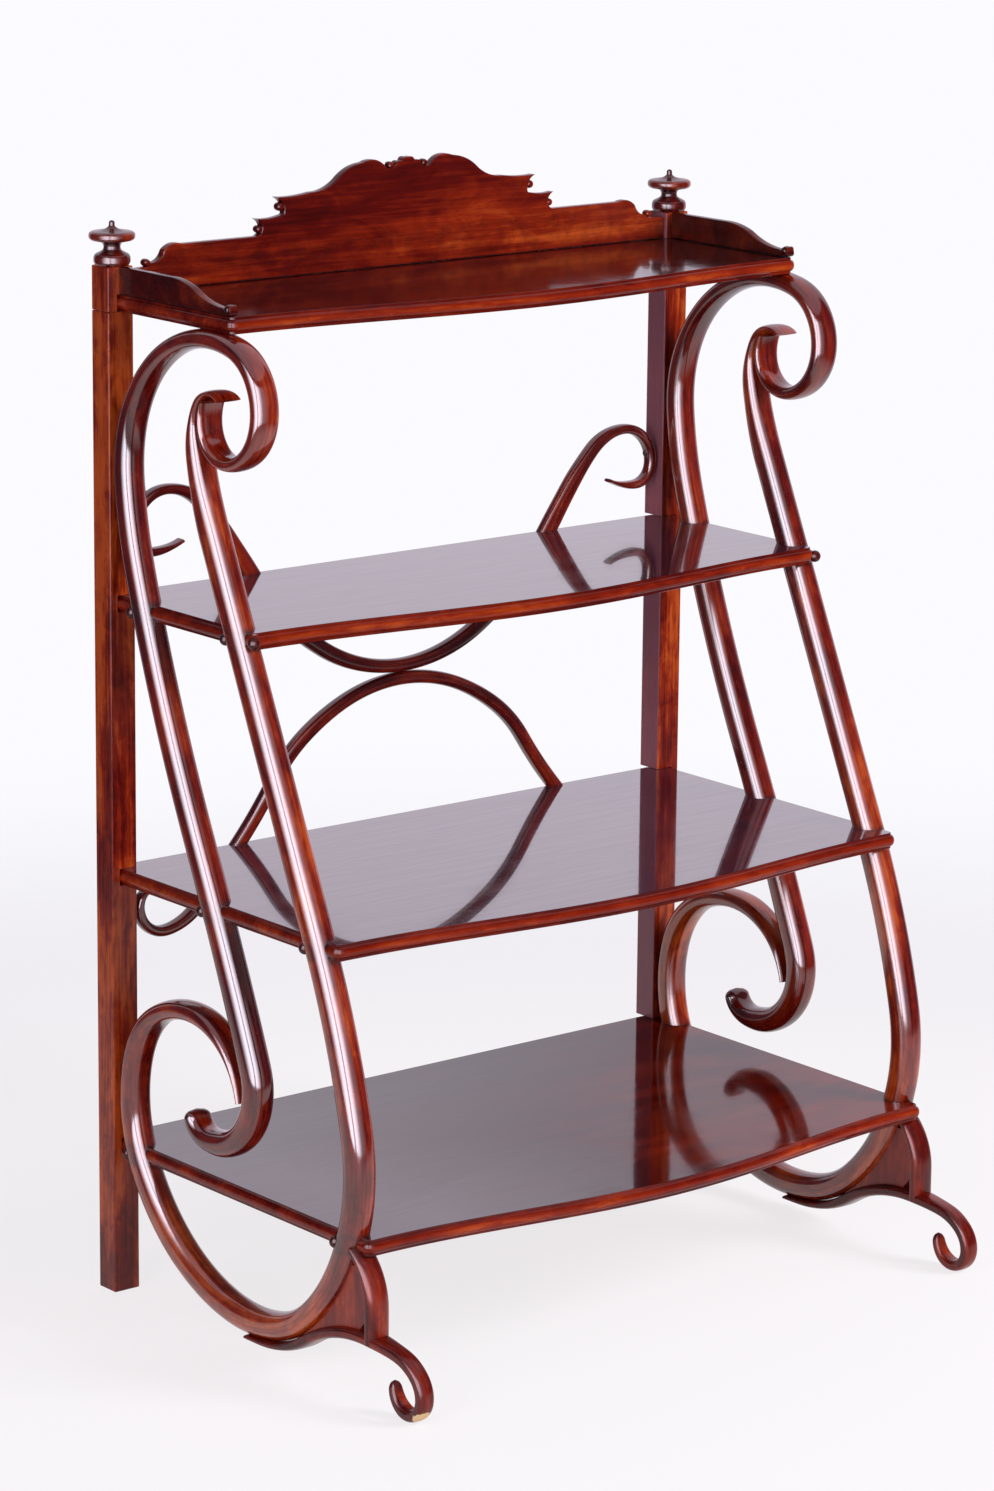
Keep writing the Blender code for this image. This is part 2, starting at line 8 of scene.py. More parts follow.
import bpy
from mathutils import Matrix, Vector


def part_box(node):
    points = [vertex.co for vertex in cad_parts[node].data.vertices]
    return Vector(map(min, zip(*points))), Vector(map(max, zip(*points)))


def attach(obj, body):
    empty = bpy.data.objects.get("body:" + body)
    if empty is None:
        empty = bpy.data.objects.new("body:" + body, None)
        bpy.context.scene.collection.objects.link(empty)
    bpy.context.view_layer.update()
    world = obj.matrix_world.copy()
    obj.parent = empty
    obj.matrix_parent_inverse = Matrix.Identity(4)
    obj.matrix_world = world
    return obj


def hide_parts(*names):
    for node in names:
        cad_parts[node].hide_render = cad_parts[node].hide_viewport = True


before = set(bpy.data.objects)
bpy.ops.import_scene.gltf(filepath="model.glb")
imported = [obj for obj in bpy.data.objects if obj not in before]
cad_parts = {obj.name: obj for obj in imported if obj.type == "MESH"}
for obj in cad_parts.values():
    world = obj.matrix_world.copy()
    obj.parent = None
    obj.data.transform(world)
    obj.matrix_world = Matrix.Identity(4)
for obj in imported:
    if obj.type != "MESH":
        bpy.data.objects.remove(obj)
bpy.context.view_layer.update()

import math

import bmesh
import bpy
import numpy as np
from bpy.props import FloatProperty, FloatVectorProperty, IntProperty, PointerProperty
from bpy.types import Operator, Panel, PropertyGroup
from mathutils import Matrix, Vector

bl_info = {
    "name": "Scroll etagere",
    "version": (1, 0, 0),
    "blender": (4, 5, 0),
    "location": "3D View > Sidebar > Etagere",
    "description": "Builds the polished pieces of a scroll-framed etagere over its frame",
    "category": "Add Mesh",
}

MM = 0.001
SIDES = {"left": -1, "right": 1}


def span(node, axis):
    """A frame node's lowest and highest coordinate along an axis, in millimetres."""
    low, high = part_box(node)
    return low[axis] / MM, high[axis] / MM


POST_FRONT_Y = span("back_post_right", 1)[0]
POST_AXIS_Y = sum(span("back_post_right", 1)) / 2
POST_INNER_X = span("back_post_right", 0)[0]
POST_X = sum(span("back_post_right", 0)) / 2
ROD_X = sum(span("front_scroll_right", 0)) / 2
ROD_WIDTH = np.ptp(span("front_scroll_right", 0))
BRACKET_WIDTH = np.ptp(span("foot_bracket_right", 0))
BRACE_Y = sum(span("upper_brace", 1)) / 2
BRACE_DEPTH = np.ptp(span("upper_brace", 1))
SHELF_THICK = np.ptp(span("shelf_top", 2))
SHELF_BACK_U = POST_FRONT_Y - span("shelf_top", 1)[1]
CAP_TOP = span("cap_block_right", 2)[1]
TRAY_Z = span("back_gallery", 2)[0]

# Shelves: half width at the fillets, u of the front corners, extra bow in the middle, and the
# share of mirror polish on the flats
SHELVES = {
    "bottom": (386.0, 433.0, 38.0, 0.66),
    "third": (386.0, 380.0, 31.0, 1.0),
    "second": (386.0, 237.0, 34.0, 0.80),
    "top": (384.0, 196.0, 33.0, 0.25),
}
ROD_SHELVES = ("bottom", "third", "second")   # those that the scroll rods pass
SHELF_RINGS = np.array([2, 5, 9, 14, 20, 30, 45, 70])   # how far rings lie inside a flat's outline
BOTTOM_WORN = (-280.0, 60.0, 0.85)   # x from and to which its mirror wears off, and how much

# Finishes of the wood: warmth sets the shade, gloss the roughness, shine the gleam; spread packs
# the grain, contrast widens its shades and depth below 1 darkens them
WOODS = {
    "post wood": dict(warmth=0.73, gloss=0.19, shine=0.3, spread=1.5, contrast=1.9, upright=True),
    "web wood": dict(warmth=0.56, gloss=0.32, spread=2.0, upright=True),
    "shelf wood": dict(warmth=0.42, gloss=0.07, shine=0.2, mirror=True),
    "gallery wood": dict(warmth=0.43, gloss=0.14, shine=0.3, contrast=1.2),
    "side gallery wood": dict(warmth=0.34, gloss=0.14, shine=0.2, depth=0.6),
    "turned wood": dict(warmth=0.34, gloss=0.18, shine=0.6, spread=3.0, depth=0.8),
    "rod wood": dict(warmth=0.42, gloss=0.11, shine=0.9, spread=1.4, contrast=1.5),
    "front rod wood": dict(warmth=0.61, gloss=0.11, shine=0.9, spread=1.4, contrast=1.8),
    "foot wood": dict(warmth=0.42, gloss=0.22, shine=0.35, spread=2.0, contrast=1.4),
    "bead wood": dict(warmth=0.20, gloss=0.22, shine=0.3, depth=0.7),
}
GRAIN_SHARES = {"Figure": 0.32, "Streak": 0.16, "Mottle": 0.14}   # what sets the shade
CHIP_REACH = 0.012   # of the chip under the left foot's curl, in metres

# Scrolls: start (u, z); the arcs' lengths; the first heading, then the turn to the left
# along each arc, in degrees; the half thickness at the start, then at each arc's end
REAR_SCROLL = (
    (161.0, 1004.0),
    (19, 72, 84, 80, 155, 140, 97, 299, 237, 129, 21, 20, 22),
    (-116, 21, 106, 80, 74, 58, 52, 12, 8.5, -4, -103, -14, -35, -48),
    (3, 4.7, 7.8, 10.6, 10.2, 10.4, 14.6, 15, 15.3, 16.5, 14.4, 12.2, 10.1, 8))
FRONT_SCROLL = (
    (188.7, 1008.2),
    (47, 59, 82, 434, 198, 76, 162, 68, 79, 206, 129, 86, 58, 118),
    (142, 102, 37, 13.5, 0, -12, -21, -41, -28, -23, -51, -48, -50, -27, -72),
    (1.5, 5.8, 11.9, 15.8, 16, 16.5, 16, 14, 15.3, 15.7, 16, 15, 11, 10, 3.6))
FOOT_LINE = (
    (232.0, 15.5),
    (32, 74, 110, 47.3, 34, 24.1, 35, 36, 8),
    (1, 2, 31, -36, -8, -34, -47, -92, -78, -6))
FOOT_SCROLL = FOOT_LINE + ((2, 3.5, 6.5, 6.5, 6.5, 6.5, 6.3, 6, 5.4, 4.2),)
FOOT_SPREAD = FOOT_LINE + ((15, 15, 15, 13.5, 10.5, 10, 10, 9.5, 7.5, 6),)   # half widths
BRACKET = (
    (413.0, 160.0),
    (67, 36),
    (-35, -55, 0),
    (5, 8, 8))
UPPER_BRACE = (
    (0.0, 647.0),
    (118, 70, 70, 50, 53, 52, 66, 37, 40),
    (0, 33, 12, 11, -1, -9, -46, -90, -90, -25),
    (7.5, 9, 10.5, 11, 10, 8, 5.5, 6.3, 5, 2))
LOWER_BRACE = (
    (0.0, 631.7),
    (86, 59, 60, 77, 84, 50, 54, 28),
    (0, -24, -13, -20, 8, 2, 40, 97, 90),
    (7.5, 7.5, 8, 8, 8, 7, 6, 5.5, 2))

# Outlines of the galleries: distance out or forward, height above the tray, and the rise of
# each curve over half its chord
BACK_OUTLINE = (
    (0, 9, 18, 29, 62, 98, 132, 178, 168, 205, 197, 204, 300.7, 324.7, 340.7, 346.7, 367.7, 367.7),
    (116.9, 112.9, 108.9, 106.9, 114.9, 98.9, 87.9, 85.9, 66.9, 64.9, 54.9, 45.9, 45.9, 40.9, 28.9,
     24.9, 23.9, 0),
    (-0.45, -0.5, 0.3, -0.35, -0.18, 0.18, 0.06, 0.35, 0.10, 0.25, 0.35, 0, -0.3, 0.35, 0.3,
     0, 0, 0))
SIDE_OUTLINE = (
    (0.3, 0.3, 85, 128, 180, 187, 196, 192),
    (0, 28.6, 28.9, 21.9, 7.9, 9.9, 4.9, 0),
    (0, 0, -0.10, 0.12, 0.4, -0.8, -0.4, 0))

# Carved beads in the notches of the galleries: distance out or forward, height, radius
BACK_BEADS = ((23, 109.0, 4.2), (172, 75.0, 4.6), (200, 53.0, 4.2), (346, 29.0, 4.2))
SIDE_BEAD = (189, 6.5, 5.2)

# Finial: radius and height above the cap block, from the tip down to the seat
FINIAL_PROFILE = (
    (0.0, 47.0), (2.4, 46.6), (3.4, 44.4), (2.8, 42.2), (3.4, 40.6), (7.0, 38.2), (13.0, 36.6),
    (22.0, 35.4), (24.5, 33.4), (24.5, 28.6), (22.0, 26.2), (13.5, 25.0), (9.6, 22.6),
    (8.7, 19.4), (9.6, 16.0), (13.0, 14.2), (18.0, 11.8), (19.5, 8.6), (19.5, 3.2), (17.5, 0.3))

# Camera, found from the photograph: place, then its angles to the right of +Y and downward,
# its roll, all in radians, and its lens in millimetres
CAMERA_PLACE = (-3.41767, -4.11375, 1.87587)
CAMERA_YAW = 0.68296
CAMERA_PITCH = 0.23367
CAMERA_ROLL = 0.01030
CAMERA_LENS = 123.46

# Stage, in metres: the lamps' places and sizes, the key at the front right and the fill at
# the left; the reach of floor, curtain and screen from the middle
KEY_PLACE, KEY_SIZE = (2.2, -3.2, 2.5), (1.6, 2.2)
FILL_PLACE, FILL_SIZE = (-3.2, -1.4, 1.5), (1.4, 1.8)
LAMP_AIM = (0, 0, 0.6)
FLOOR_REACH = 4.0
CURTAIN_REACH = 4.2
CURTAIN_SWEEP = 125   # degrees to each side of the camera
SCREEN_REACH = 2.3
SCREEN_START, SCREEN_GAP, SCREEN_END = 160.0, 214.0, 300.0   # degrees from +X


# Settings that a user would change
def paint(name, description, rgb):
    """A colour setting."""
    return FloatVectorProperty(name=name, description=description, subtype="COLOR", size=4,
                               min=0, max=1, default=rgb + (1,))


def length(name, description, low, high, default):
    """A setting in metres."""
    return FloatProperty(name=name, description=description, unit="LENGTH", min=low, max=high,
                         default=default)


def section_power(name, description, default):
    """The power of a section's superellipse."""
    return FloatProperty(name=name, description=description, min=1.5, max=8, default=default)


def light(name, description, default, **limits):
    """The strength of a light."""
    return FloatProperty(name=name, description=description, min=0, default=default, **limits)


class EtagereFinish(PropertyGroup):
    ebony: paint("Ebony", "Darkest streaks of the figure", (0.022, 0.0010, 0.0009))
    heartwood: paint("Heartwood", "Deep red-brown of the mahogany", (0.090, 0.0034, 0.0016))
    russet: paint("Russet", "Red-brown of the lighter figure", (0.210, 0.0145, 0.0030))
    amber: paint("Amber", "Warm orange-brown where the grain opens", (0.430, 0.0660, 0.0100))
    # Painted reflection: the lilac that the flat tops mirror, mixed into their colour
    painted_lilac_reflection: paint("Bloom", "Faint lilac haze of old polish on flat tops", (0.090, 0.055, 0.110))
    # Painted reflection: the plum sheen that the posts' inner faces mirror, laid into their colour
    gloss_haze_and_painted_reflection: paint("Haze", "Dull plum haze on the posts' inner faces", (0.330, 0.125, 0.170))
    # Also the colour of the painted shade over the tongue ends of scrolls and foot strips
    old_polish_and_shade: paint("Old polish", "Dark polish gathered round the joints", (0.012, 0.0035, 0.0035))
    bare_wood: paint("Bare wood", "Raw wood where an edge is chipped", (0.640, 0.440, 0.230))
    steel: paint("Steel", "Darkened steel of the screws", (0.120, 0.105, 0.095))
    ripple: length("Ripple", "Depth of the hand-polished ripples", 0, 0.001, 0.00010)


class EtagereRods(PropertyGroup):
    roundness: section_power("Roundness", "Power of the rods' oval section; 2 is an ellipse", 2.3)
    strip_roundness: section_power("Strip roundness", "Power of the section of feet and braces", 3.1)
    step: length("Step", "Distance between sections along a scroll", 0.001, 0.02, 0.002)
    section: IntProperty(
        name="Section points", description="Points round a section", min=12, max=96, default=40)
    bracket_roundness: section_power("Bracket roundness", "Power of the brackets' section", 2.5)
    bead: length("Bead", "Radius of the balls where rods pass shelves", 0.001, 0.01, 0.0066)


class EtagereShelves(PropertyGroup):
    fillet: length("Fillet", "Height of the flats beside the half round", 0.0005, 0.008, 0.003)
    proud: length("Proud", "How far the half round stands out", 0.0005, 0.01, 0.004)
    corner: length("Corner", "Radius of the front corners", 0.001, 0.03, 0.006)


class EtagereGalleries(PropertyGroup):
    edge: length("Edge rounding", "Radius of the galleries' softened edges", 0.0002, 0.004, 0.0016)


class EtagereStage(PropertyGroup):
    floor: paint("Floor", "Colour of the plain floor", (0.92, 0.90, 0.93))
    key_power: light("Key", "Power of the large soft lamp", 205, unit="POWER")
    fill_power: light("Fill", "Power of the soft lamp at the left", 40, unit="POWER")
    screen: light("Screen", "Brightness of the tall screen that the rods mirror", 15)
    ambient: light("Ambient", "Strength of the even light all round", 0.29, max=2)


class EtagereSettings(PropertyGroup):
    finish: PointerProperty(type=EtagereFinish, name="Finish")
    rods: PointerProperty(type=EtagereRods, name="Rods")
    shelves: PointerProperty(type=EtagereShelves, name="Shelves")
    galleries: PointerProperty(type=EtagereGalleries, name="Galleries")
    stage: PointerProperty(type=EtagereStage, name="Stage")


# Node trees
def feed(tree, made, inputs):
    """Gives a node's sockets, by name or number, their values or links."""
    for key, value in inputs.items():
        if isinstance(value, bpy.types.NodeSocket):
            tree.links.new(value, made.inputs[key])
        else:
            made.inputs[key].default_value = value


def node(tree, kind, inputs=None, **values):
    """Adds a shader node; inputs maps socket names or numbers to values or other sockets."""
    made = tree.nodes.new("ShaderNode" + kind)
    for name, value in values.items():
        setattr(made, name, value)
    feed(tree, made, inputs or {})
    return made


def blend(tree, share, first, second):
    """Mixes two colours by a share and gives the colour socket."""
    made = node(tree, "Mix", data_type="RGBA", clamp_factor=True)
    feed(tree, made, {0: share, 6: first, 7: second})
    return made.outputs[2]


def maths(tree, operation, first, second=0.0, clamp=False):
    """One Math node's result."""
    return node(tree, "Math", {0: first, 1: second}, operation=operation,
                use_clamp=clamp).outputs[0]


def plus(tree, first, second, clamp=False):
    """The sum of two values."""
    return maths(tree, "ADD", first, second, clamp)


def times(tree, first, second):
    """The product of two values."""
    return maths(tree, "MULTIPLY", first, second)


def scaled(tree, vector, factors):
    """A vector with each part multiplied by its factor."""
    return node(tree, "VectorMath", {0: vector, 1: factors}, operation="MULTIPLY").outputs[0]


def remap(tree, value, low, high, start=0.0, end=1.0):
    """Maps low..high smoothly onto start..end, held at the ends."""
    return node(tree, "MapRange", {"Value": value, "From Min": low, "From Max": high,
                                   "To Min": start, "To Max": end},
                interpolation_type="SMOOTHSTEP").outputs["Result"]


def added(tree, base, value, share, clamp=False):
    """A base with a share of a value added."""
    return plus(tree, base, times(tree, value, share), clamp)


def noise(tree, vector, scale=1.0, **settings):
    """The value of a noise at a place."""
    return node(tree, "TexNoise", {"Vector": vector, "Scale": scale, **settings}).outputs[0]


def object_place(tree):
    """The place on the object."""
    return node(tree, "TexCoord").outputs["Object"]


def kept_mask(tree, name):
    """A mask that the mesh keeps for its points."""
    return node(tree, "Attribute", attribute_name=name).outputs["Fac"]


def ray_seen(tree, rays):
    """1 for rays from the camera, gloss or glass, else 0."""
    seen = maths(tree, "MAXIMUM", rays["Is Camera Ray"], rays["Is Glossy Ray"])
    return maths(tree, "MAXIMUM", seen, rays["Is Transmission Ray"])


def new_group(name, inputs, outputs):
    """An empty shader group with named sockets; gives it, its inputs and its outputs."""
    group = bpy.data.node_groups.new(name, "ShaderNodeTree")
    for label in inputs:
        kind = "NodeSocketVector" if label == "Vector" else "NodeSocketFloat"
        group.interface.new_socket(label, in_out="INPUT", socket_type=kind)
    for label in outputs:
        group.interface.new_socket(label, in_out="OUTPUT", socket_type="NodeSocketFloat")
    return group, group.nodes.new("NodeGroupInput").outputs, group.nodes.new("NodeGroupOutput").inputs


def mahogany_grain():
    """The shared grain: figure, streaks and pores, all long in x, and a cloudy mottle.

    Each is noise on the plank's coordinates; all but the mottle are pressed together across
    the grain.
    """
    name = "mahogany grain"
    if name in bpy.data.node_groups:
        return bpy.data.node_groups[name]
    layers = {   # waves along and across a metre of plank, the noise's settings, its range
        "Figure": (3.0, 16.0, dict(Detail=3.0, Roughness=0.55, Distortion=0.8), (0.32, 0.68)),
        "Streak": (9.0, 230.0, dict(Detail=4.0, Roughness=0.6, Distortion=0.25), (0.32, 0.70)),
        "Pore": (70.0, 1500.0, dict(Detail=1.0), (0.62, 0.74)),
        "Mottle": (18.0, 34.0, dict(Detail=5.0, Roughness=0.6, Distortion=1.2), (0.30, 0.70))}
    group, given, out = new_group(name, ["Vector", "Spread"], layers)
    vector = node(group, "VectorMath", {0: given["Vector"], "Scale": given["Spread"]},
                  operation="SCALE").outputs[0]
    for label, (along, across, settings, (low, high)) in layers.items():
        value = noise(group, scaled(group, vector, (along, across, across)), **settings)
        group.links.new(remap(group, value, low, high), out[label])
    return group


def hand_polish():
    """The shared polish: slow ripples for the height and small changes of the gloss."""
    name = "hand polish"
    if name in bpy.data.node_groups:
        return bpy.data.node_groups[name]
    group, given, out = new_group(name, ["Vector"], ["Ripple", "Haze"])
    ripple = noise(group, scaled(group, given["Vector"], (5.0, 45.0, 45.0)), Detail=2.0,
                   Roughness=0.45)
    gloss_haze_and_painted_reflection = noise(group, given["Vector"], 14.0, Detail=5.0, Roughness=0.65)
    group.links.new(ripple, out["Ripple"])
    group.links.new(remap(group, gloss_haze_and_painted_reflection, 0.35, 0.75), out["Haze"])
    return group


def gathered_polish_and_shade():
    """The shared darkening of gathered polish and painted shade: their mask broken up by noise, so
    its edge is ragged.
    """
    name = "gathered polish"
    if name in bpy.data.node_groups:
        return bpy.data.node_groups[name]
    group, given, out = new_group(name, ["Vector", "Age"], ["Mask"])
    spots = noise(group, given["Vector"], 90.0, Detail=4.0, Roughness=0.6)
    uneven = node(group, "Math", {0: spots, 1: 0.7, 2: -0.35}, operation="MULTIPLY_ADD").outputs[0]
    group.links.new(remap(group, plus(group, given["Age"], uneven), 0.25, 0.95), out["Mask"])
    return group


def use(tree, group, inputs):
    """Places a shared group in a material."""
    made = node(tree, "Group", node_tree=group)
    feed(tree, made, inputs)
    return made.outputs


def new_material(name, **constants):
    """A material with only its Principled BSDF, given its constant values, and the output."""
    mat = bpy.data.materials.new(name)
    mat.use_nodes = True
    shader = mat.node_tree.nodes["Principled BSDF"]
    shader.inputs["IOR"].default_value = 1.5
    for label, value in constants.items():
        shader.inputs[label.replace("_", " ")].default_value = value
    return mat, mat.node_tree, shader


def ramp(tree, value, stops):
    """A value turned into a colour through (position, colour) stops."""
    made = node(tree, "ValToRGB", {0: value})
    elements = made.color_ramp.elements
    for element, (position, colour) in zip(elements, (stops[0], stops[-1])):
        element.position, element.color = position, colour
    for position, colour in stops[1:-1]:
        elements.new(position).color = colour
    return made.outputs[0]


def wood(name):
    """One of the finishes in the table."""
    return polished_wood(name, **WOODS[name])


def polished_wood(name, warmth, gloss, depth=1.0, shine=0.4, spread=1.0, contrast=1.0,
                  upright=False, chip=None, mirror=False):
    """Mahogany under hand-rubbed polish.

    The tone is warmth plus contrast times the grain's layers, each about its middle, and rubbed
    places and painted light add to it. The colour runs with the tone from ebony over heartwood
    and russet to amber. Pores, gathered polish and painted shade darken it. Upright wood keeps no
    masks, works from its place and gets a painted plum reflection on its inner faces. A mirror
    finish has a coat on its flats, over a ground close to ebony with a share of painted lilac
    reflection.
    """
    if name in bpy.data.materials:
        return bpy.data.materials[name]
    look = bpy.context.scene.etagere.finish
    mat, tree, shader = new_material(name, Specular_IOR_Level=shine)
    if upright:
        place = object_place(tree)
        plank = node(tree, "Mapping", {"Vector": place, "Rotation": (0, math.pi / 2, 0)}).outputs[0]
        age_and_shade, rub_and_painted_light = post_age(tree, place), 0.0
    else:
        plank = node(tree, "Attribute", attribute_name="plank").outputs["Vector"]
        age_and_shade, rub_and_painted_light = kept_mask(tree, "age_and_shade"), kept_mask(tree, "rub_and_painted_light")
    grain = use(tree, mahogany_grain(), {"Vector": plank, "Spread": spread})
    polish = use(tree, hand_polish(), {"Vector": plank})
    mask = use(tree, gathered_polish_and_shade(), {"Vector": plank, "Age": age_and_shade})["Mask"]

    tone = warmth - contrast * sum(GRAIN_SHARES.values()) / 2
    for layer, share in GRAIN_SHARES.items():
        tone = added(tree, tone, grain[layer], share * contrast)
    # Rubbed places and painted light lighten the tone
    tone = added(tree, tone, rub_and_painted_light, 0.4, clamp=True)
    shades = zip((0.0, 0.35, 0.66, 1.0), (look.ebony, look.heartwood, look.russet, look.amber))
    stops = [(at, [c * depth for c in shade[:3]] + [1]) for at, shade in shades]
    colour = ramp(tree, tone, stops)
    colour = blend(tree, times(tree, grain["Pore"], 0.45), colour, stops[0][1])
    colour = blend(tree, times(tree, mask, 0.9), colour, look.old_polish_and_shade)
    if upright:
        # Painted plum reflection on the posts' inner faces
        colour = blend(tree, inner_face_painted_reflection(tree, place), colour, look.gloss_haze_and_painted_reflection)
    if mirror:
        flat = kept_mask(tree, "flat")
        brushed = remap(tree, grain["Streak"], 0.0, 1.0, 1.0, 0.91)
        feed(tree, shader, {"Coat Roughness": 0.02, "Coat IOR": 1.8,
                            "Coat Weight": times(tree, flat, brushed)})
        colour = blend(tree, remap(tree, flat, 0.0, 0.3, 0.0, 0.92), colour, stops[0][1])
        # Painted lilac reflection on the mirror flats
        colour = blend(tree, remap(tree, flat, 0.45, 0.95, 0.0, 0.25), colour, look.painted_lilac_reflection)
    rough = added(tree, added(tree, gloss, polish["Haze"], 0.07), mask, 0.12)
    if chip:
        bare = chip_mask(tree, chip)
        colour = blend(tree, bare, colour, look.bare_wood)
        rough = added(tree, rough, bare, 0.6, clamp=True)
    height = added(tree, polish["Ripple"], grain["Streak"], 0.03)
    bump = node(tree, "Bump", {"Strength": 1.0, "Distance": look.ripple, "Height": height})
    feed(tree, shader, {"Base Color": colour, "Roughness": rough, "Normal": bump.outputs[0]})
    return mat


def post_age(tree, place):
    """Age of a post near the shelves: most within 8 mm of a shelf's middle, none from 22 mm."""
    height = node(tree, "SeparateXYZ", {0: place}).outputs[2]
    age_and_shade = 0.0
    for shelf in ROD_SHELVES:
        middle = sum(span("shelf_" + shelf, 2)) / 2 * MM
        away = maths(tree, "ABSOLUTE", maths(tree, "SUBTRACT", height, middle))
        age_and_shade = maths(tree, "MAXIMUM", age_and_shade, remap(tree, away, 0.008, 0.022, 0.35, 0.0))
    return age_and_shade


def inner_face_painted_reflection(tree, place):
    """Share of painted plum reflection: three quarters on the posts' inner faces, none a millimetre
    outside.
    """
    out = maths(tree, "ABSOLUTE", node(tree, "SeparateXYZ", {0: place}).outputs[0])
    face = POST_INNER_X * MM
    return remap(tree, out, face + 0.0002, face + 0.0010, 0.75, 0.0)


def chip_mask(tree, chip):
    """A small spot of bare wood about a point, ragged as noise moves its edge."""
    place = object_place(tree)
    away = node(tree, "VectorMath", {0: place, 1: chip}, operation="DISTANCE").outputs["Value"]
    ragged = added(tree, away, noise(tree, place, 260.0, Detail=3.0), 0.006)
    return remap(tree, ragged, CHIP_REACH - 0.0005, CHIP_REACH + 0.0005, 1.0, 0.0)


def dark_steel(name):
    """Darkened steel with fine turning marks."""
    look = bpy.context.scene.etagere.finish
    mat, tree, shader = new_material(name, Metallic=1.0)
    marks = noise(tree, object_place(tree), 900.0, Detail=3.0)
    colour = blend(tree, marks, look.steel, [c * 1.8 for c in look.steel[:3]] + [1])
    rough = remap(tree, marks, 0.3, 0.7, 0.25, 0.45)
    feed(tree, shader, {"Base Color": colour, "Roughness": rough})
    return mat


# Surfaces
def running_sum(steps):
    """The running sum of steps, from zero."""
    return np.concatenate([[0.0], np.cumsum(steps)])


def bell(distance, width):
    """A bell curve: e to the power of minus the square of distance over width."""
    return np.exp(-(distance / width) ** 2)


def trace(scroll, step):
    """A scroll as a table of columns u, z, heading, half thickness and length s.

    Along each arc the heading grows evenly with s and the half thickness eases as
    3 t^2 - 2 t^3. Both are softened over a few millimetres, so one arc runs into the next,
    and the point is the start plus the running sum of (cos h, sin h) ds.
    """
    (u, z), lengths, degrees, halves = scroll
    knots = running_sum(lengths)
    s = np.linspace(0.0, knots[-1], max(3, round(knots[-1] / step) + 1))
    ds = s[1] - s[0]
    heading = np.interp(s, knots, np.radians(np.cumsum(degrees)))
    row = np.clip(np.searchsorted(knots, s, side="right") - 1, 0, len(lengths) - 1)
    t = (s - knots[row]) / np.asarray(lengths, float)[row]
    halves = np.asarray(halves, float)
    half = halves[row] + (halves[row + 1] - halves[row]) * t * t * (3 - 2 * t)
    heading, half = soften(heading, 5.0 / ds), soften(half, 7.0 / ds)
    middle = (heading[1:] + heading[:-1]) / 2
    return np.column_stack([u + running_sum(np.cos(middle)) * ds,
                            z + running_sum(np.sin(middle)) * ds, heading, half, s])


def soften(values, width):
    """A running mean weighted by a bell curve, the ends being carried on in a straight line."""
    reach = max(1, min(int(3 * width), len(values) - 1))
    weights = bell(np.arange(-reach, reach + 1), math.sqrt(2) * width)
    before = 2 * values[0] - values[reach:0:-1]
    after = 2 * values[-1] - values[-2:-reach - 2:-1]
    carried = np.concatenate([before, values, after])
    return np.convolve(carried, weights / weights.sum(), mode="valid")


def bent(values, power):
    """Each value raised to 2/power with its sign kept."""
    return np.sign(values) * np.abs(values) ** (2 / power)


def carry(line, place, half_width, power, count, tongue=0.0, groove=0.0):
    """An oval carried square to a line.

    The oval is the superellipse (a |cos|^(2/p), b |sin|^(2/p)), a being the half thickness and
    b the half width, one number or one for each row. Over the last tongue millimetres both
    shrink as sqrt(1 - t^2), which closes the end in a rounded tongue. A groove of the given
    depth runs along the middle of both sides. place turns (u, z, w) into x, y, z.
    """
    u, z, heading, half, s = line.T
    angle = whole_turn(count)
    c, w = bent(np.cos(angle), power), bent(np.sin(angle), power)
    share = np.ones_like(s)
    if tongue:
        t = np.clip((s - s[-1] + tongue) / tongue, 0, 1)
        share = np.sqrt(np.clip(1 - t * t, 0.0004, 1))
    n = np.outer(half * share, c)
    across = np.outer(share * half_width, w)
    across -= groove * np.sign(w) * bell(n, 0.8) * share[:, None]
    points = place(u[:, None] - n * np.sin(heading)[:, None],
                   z[:, None] + n * np.cos(heading)[:, None], across)
    plank = np.stack([np.broadcast_to(s[:, None], n.shape), n, across], -1)
    return points, plank


def tube_faces(rows, columns):
    """Quads of a grid whose rows close on themselves, and a fan to a pole at each end."""
    i = np.arange(rows - 1)[:, None] * columns
    j = np.arange(columns)[None, :]
    k = (j + 1) % columns
    quads = np.stack([i + j, i + k, i + columns + k, i + columns + j], -1).reshape(-1, 4)
    j, k = j[0], k[0]
    last = (rows - 1) * columns
    low = np.stack([np.full(columns, rows * columns), k, j], -1)
    high = np.stack([np.full(columns, rows * columns + 1), last + j, last + k], -1)
    return quads, np.concatenate([low, high])


def close_tube(grid):
    """The grid's points in a row, with the middle of the first and last ring as poles."""
    return np.concatenate([grid.reshape(-1, 3), grid[[0, -1]].mean(1)])


def tube(grid):
    """Points, quads and fans of a grid of rings that is closed at both ends."""
    return close_tube(grid), *tube_faces(*grid.shape[:2])


def whole_turn(count):
    """Evenly spaced angles once round."""
    return 2 * np.pi * np.arange(count) / count


def outward(points, quads, fans):
    """Turns every face round if the enclosed volume, summed over triangles, is negative."""
    triangles = np.concatenate([quads[:, [0, 1, 2]], quads[:, [0, 2, 3]], fans])
    a, b, c = (points[triangles[:, i]] for i in range(3))
    if np.einsum("ij,ij->", a, np.cross(b, c)) < 0:
        return quads[:, ::-1], fans[:, ::-1]
    return quads, fans


def put_in_scene(name, data):
    """An object with its data, linked to the scene."""
    made = bpy.data.objects.new(name, data)
    bpy.context.scene.collection.objects.link(made)
    return made


def keep_mask(mesh, label, values):
    """Keeps one value for each of a mesh's points."""
    attribute = mesh.attributes.new(label, "FLOAT", "POINT")
    attribute.data.foreach_set("value", values.astype(np.float32))


